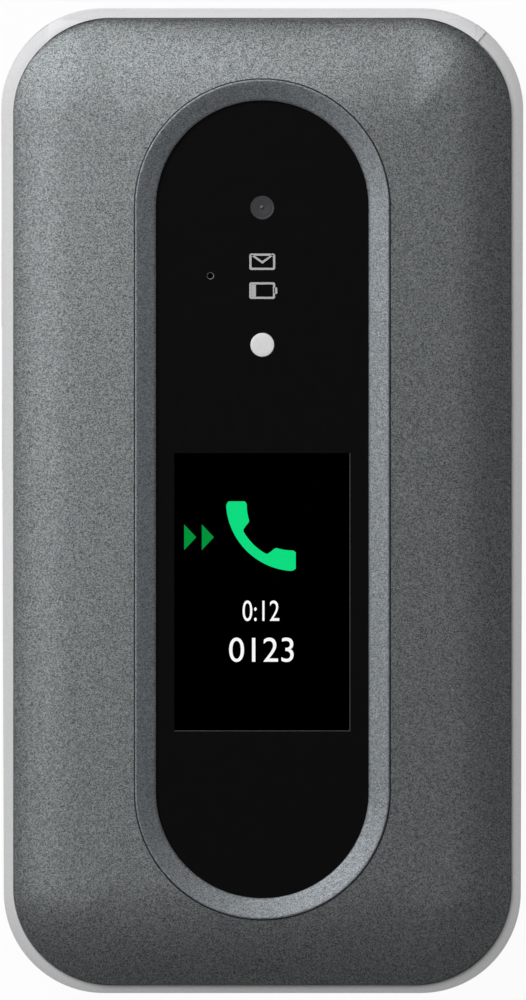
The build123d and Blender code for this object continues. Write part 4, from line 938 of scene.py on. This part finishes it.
def pad_outline(width, height, radius, x, y):
    """A rounded rectangle as a function of an inset."""
    def outline(inset):
        """The rectangle, this far in."""
        corner = max(radius - inset, 0.3)
        return rounded_points(width / 2 - inset, height / 2 - inset, corner, (x, y), corner=12)
    return outline


def round_outline(radius, x, y):
    """A circle as a function of an inset."""
    def outline(inset):
        """The circle, this far in."""
        return circle_points(radius - inset, (x, y), 96)
    return outline


def print_shapes(name, key, shapes, material=LEGEND, slot="key_caps"):
    """Signs printed on a key."""
    flat_piece(name, shapes, PRINT_Z, key, slot, material)


def make_digit_keys():
    """Twelve keys in three columns: the sign in the middle, or on the left with letters beside it."""
    signs = ("1", "2", "3", "4", "5", "6", "7", "8", "9", "*", "0", "#")
    letters = ("", "ABC", "DEF", "GHI", "JKL", "MNO", "PQRS", "TUV", "WXYZ", "", "+", "")
    names = {"*": "key_star", "#": "key_hash"}
    sign_size, star_size, letter_size, plus_size = 5.2, 8.6, 2.8, 4.6
    for index, (sign, more) in enumerate(zip(signs, letters)):
        name = names.get(sign, "key_" + sign)
        x = KEY_COLUMN * (index % 3 - 1)
        y = FIRST_ROW_Y - KEY_ROW * (index // 3)
        key_piece(name, pad_outline(*DIGIT_CAP, x, y), "key_caps", [(x, y)])
        bm = bmesh.new()
        size = star_size if sign == "*" else sign_size
        add_text(bm, sign, size, (x - 4.5 if more else x, y), PRINT_Z)
        if more:
            size = plus_size if more == "+" else letter_size
            add_text(bm, more, size, (x + 1.9, y - 0.1), PRINT_Z)
        finish_mesh(name + "_legend", bm, name, "key_caps", material=LEGEND)


def make_soft_keys():
    """The two wide keys below the hinge, each with a short bar."""
    half_x, half_y = 1.7, 0.25
    y = SOFT_KEYS_Y
    for name, x in (("left_soft_key", -SOFT_KEYS_X), ("right_soft_key", SOFT_KEYS_X)):
        key_piece(name, pad_outline(*SOFT_CAP, x, y), "key_caps", [(x, y)])
        bar = rounded_box(x - half_x, y - half_y, x + half_x, y + half_y, 0.24)
        print_shapes(name + "_legend", name, [bar])


def make_call_keys():
    """The call key with a green handset, and the end key with a red one that lies down."""
    keys = (("call_key", -CALL_KEYS_X, SIGN_GREEN, 0.0), ("end_key", CALL_KEYS_X, SIGN_RED, -135.0))
    handset_size = 4.6
    for name, x, material, turn in keys:
        slot = name + "_cap"
        key_piece(name, pad_outline(*CALL_CAP, x, PAD_Y), slot, [(x, PAD_Y)])
        glyph = handset_points((0, 0), handset_size, turn)
        xs, ys = zip(*glyph)
        off_x, off_y = x - (min(xs) + max(xs)) / 2, PAD_Y - (min(ys) + max(ys)) / 2
        print_shapes(name + "_sign", name, [[(px + off_x, py + off_y) for px, py in glyph]], material, slot)


def make_navigation_keys():
    """The four-way key with its arrows, round the select key with its ring."""
    centre = (0, PAD_Y)
    turns = [(math.cos(math.radians(a)), math.sin(math.radians(a))) for a in (0, 90, 180, 270)]
    stems = [(NAVIGATION_STEM * c, PAD_Y + NAVIGATION_STEM * s) for c, s in turns]
    outline = pad_outline(*NAVIGATION_CAP, *centre)
    key_piece("navigation_key", outline, "key_caps", stems, hole=(centre, NAVIGATION_HOLE))
    arrow = ((-0.9, 7.1), (0.0, 8.3), (0.9, 7.1))
    arrows = [[(x * c - y * s, x * s + y * c + PAD_Y) for x, y in arrow] for c, s in turns]
    print_shapes("navigation_arrows", "navigation_key", arrows)
    key_piece("select_key", round_outline(SELECT_RADIUS, *centre), "key_caps", [centre], flange=0.0)
    ring = (circle_points(1.25, centre, 64), circle_points(0.95, centre, 64))
    flat_piece("select_mark", [], PRINT_Z, "select_key", "key_caps", LEGEND, [ring])


make_digit_keys()
make_soft_keys()
make_call_keys()
make_navigation_keys()


# ---------------------------------------------------------------- screws, inner display and battery contacts
def screw_set(name, places, heights, body, solid):
    """Upright screws with a hexagonal recess in the head's face, at each x with each y."""
    count = 48
    face_z, back_z, tip_z = heights
    edge = [(SCREW_RADIUS - inset, face_z + rise) for inset, rise in ((0.18, 0.0), (0.04, 0.08), (0.0, 0.2))]
    sections = [*edge, (SCREW_RADIUS, back_z), (SHANK_RADIUS, back_z), (SHANK_RADIUS, tip_z)]
    hexagon = resample(circle_points(HEX_RADIUS, (0.0, 0.0), 6), count)
    bm = bmesh.new()
    for x in places[0]:
        for y in places[1]:
            recess = [(px + x, py + y) for px, py in hexagon]
            rings = [at_height(recess, face_z + HEX_DEPTH), at_height(recess, face_z)]
            rings += [at_height(circle_points(radius, (x, y), count), z) for radius, z in sections]
            add_loft(bm, rings)
    finish_mesh(name, bm, body, "screw_steel", (solid,))


def make_inner_display():
    """The inner display's dark glass, with a thin border."""
    x0, y0, x1, y1 = DISPLAY_BOX
    line = 0.12
    area = rounded_box(x0, y0, x1, y1, 0.6)
    border = rounded_box(x0 - line, y0 - line, x1 + line, y1 + line, 0.7)
    flat_piece("inner_display_area", [area], DISPLAY_Z, "lid", "display", SCREEN_GLASS)
    flat_piece("inner_display_border", [], DISPLAY_Z, "lid", "display", BORDER_AND_PAINTED_GLINT, [(border, area)])


def make_battery_pads():
    """The three contacts that the battery shows."""
    pads = [rounded_box(x - 1.1, CONTACT_YS[0], x + 1.1, CONTACT_YS[1], 0.3) for x in CONTACT_XS]
    flat_piece("battery_pads", pads, CONTACT_Z, "base", "contact_gold", MATERIALS["contact_gold"])


screw_set("lid_screw_heads", LID_SCREWS, LID_SCREW_Z, "lid", "lid_screws")
screw_set("base_screw_heads", BASE_SCREWS, BASE_SCREW_Z, "base", "base_screws")
make_inner_display()
make_battery_pads()


# ---------------------------------------------------------------- floor, light and camera, in metres
def floor_material():
    """A white that the lamps light, and that shines by itself where it is seen or mirrored."""
    own_white = 0.96
    material = bpy.data.materials.new("floor")
    material.use_nodes = True
    tree = material.node_tree
    shader = tree.nodes["Principled BSDF"]
    shader.inputs["Base Color"].default_value = (0.95, 0.95, 0.95, 1)
    shader.inputs["Roughness"].default_value = 0.9
    white = tree.nodes.new("ShaderNodeEmission")
    white.inputs["Strength"].default_value = 1.0
    path = tree.nodes.new("ShaderNodeLightPath")
    seen = larger(tree, path.outputs["Is Camera Ray"], path.outputs["Is Glossy Ray"])
    seen = larger(tree, seen, path.outputs["Is Transmission Ray"])
    share = tree.nodes.new("ShaderNodeMath")
    share.operation = "MULTIPLY"
    share.inputs[1].default_value = own_white
    tree.links.new(seen, share.inputs[0])
    mix = tree.nodes.new("ShaderNodeMixShader")
    tree.links.new(share.outputs[0], mix.inputs[0])
    tree.links.new(shader.outputs[0], mix.inputs[1])
    tree.links.new(white.outputs[0], mix.inputs[2])
    tree.links.new(mix.outputs[0], tree.nodes["Material Output"].inputs["Surface"])
    return material


def make_floor():
    """A wide white floor below the phone."""
    half = 3.0
    mesh = bpy.data.meshes.new("floor")
    mesh.from_pydata([(x, y, 0.0) for x, y in box_points(-half, -half, half, half)], [], [(3, 2, 1, 0)])
    mesh.materials.append(floor_material())
    floor = bpy.data.objects.new("floor", mesh)
    bpy.context.scene.collection.objects.link(floor)


def make_key_light():
    """A square lamp above the left side of the hinge, which looks at the phone."""
    place = (-0.191, 0.227, 0.468)
    target = (0.0, 0.0, 0.01)
    size, power = 0.446, 2.223
    light = bpy.data.lights.new("key", "AREA")
    light.shape = "RECTANGLE"
    light.size = size
    light.size_y = size
    light.energy = power
    lamp = bpy.data.objects.new("key", light)
    bpy.context.scene.collection.objects.link(lamp)
    lamp.location = place
    lamp.rotation_euler = (Vector(target) - Vector(place)).to_track_quat("-Z", "Y").to_euler()


def make_sky():
    """A dim white sky, brighter low down than overhead."""
    world = bpy.data.worlds.new("world")
    bpy.context.scene.world = world
    world.use_nodes = True
    sky = world.node_tree
    background = sky.nodes["Background"]
    background.inputs["Color"].default_value = (1, 1, 1, 1)
    towards = sky.nodes.new("ShaderNodeTexCoord")
    split = sky.nodes.new("ShaderNodeSeparateXYZ")
    sky.links.new(towards.outputs["Generated"], split.inputs["Vector"])
    fade = sky.nodes.new("ShaderNodeMapRange")
    for socket, value in (("From Min", 0.05), ("From Max", 0.5), ("To Min", 0.25), ("To Max", 0.1)):
        fade.inputs[socket].default_value = value
    sky.links.new(split.outputs["Z"], fade.inputs["Value"])
    sky.links.new(fade.outputs["Result"], background.inputs["Strength"])


def make_camera():
    """A long lens straight above, so far off that the sides don't show."""
    lens, sensor = 870, 36
    view_height = 0.11156  # what the picture's height shows of the silhouette's plane
    silhouette_z = 0.0165
    camera = bpy.data.cameras.new("camera")
    camera.lens = lens
    camera.sensor_width = sensor
    camera.clip_start = 0.01
    holder = bpy.data.objects.new("camera", camera)
    bpy.context.scene.collection.objects.link(holder)
    holder.location = (0.00008, 0.0, silhouette_z + view_height * lens / sensor)
    holder.rotation_euler = (0, 0, 0)
    bpy.context.scene.camera = holder


make_floor()
make_key_light()
make_sky()
make_camera()
bpy.context.scene.view_settings.view_transform = "Standard"
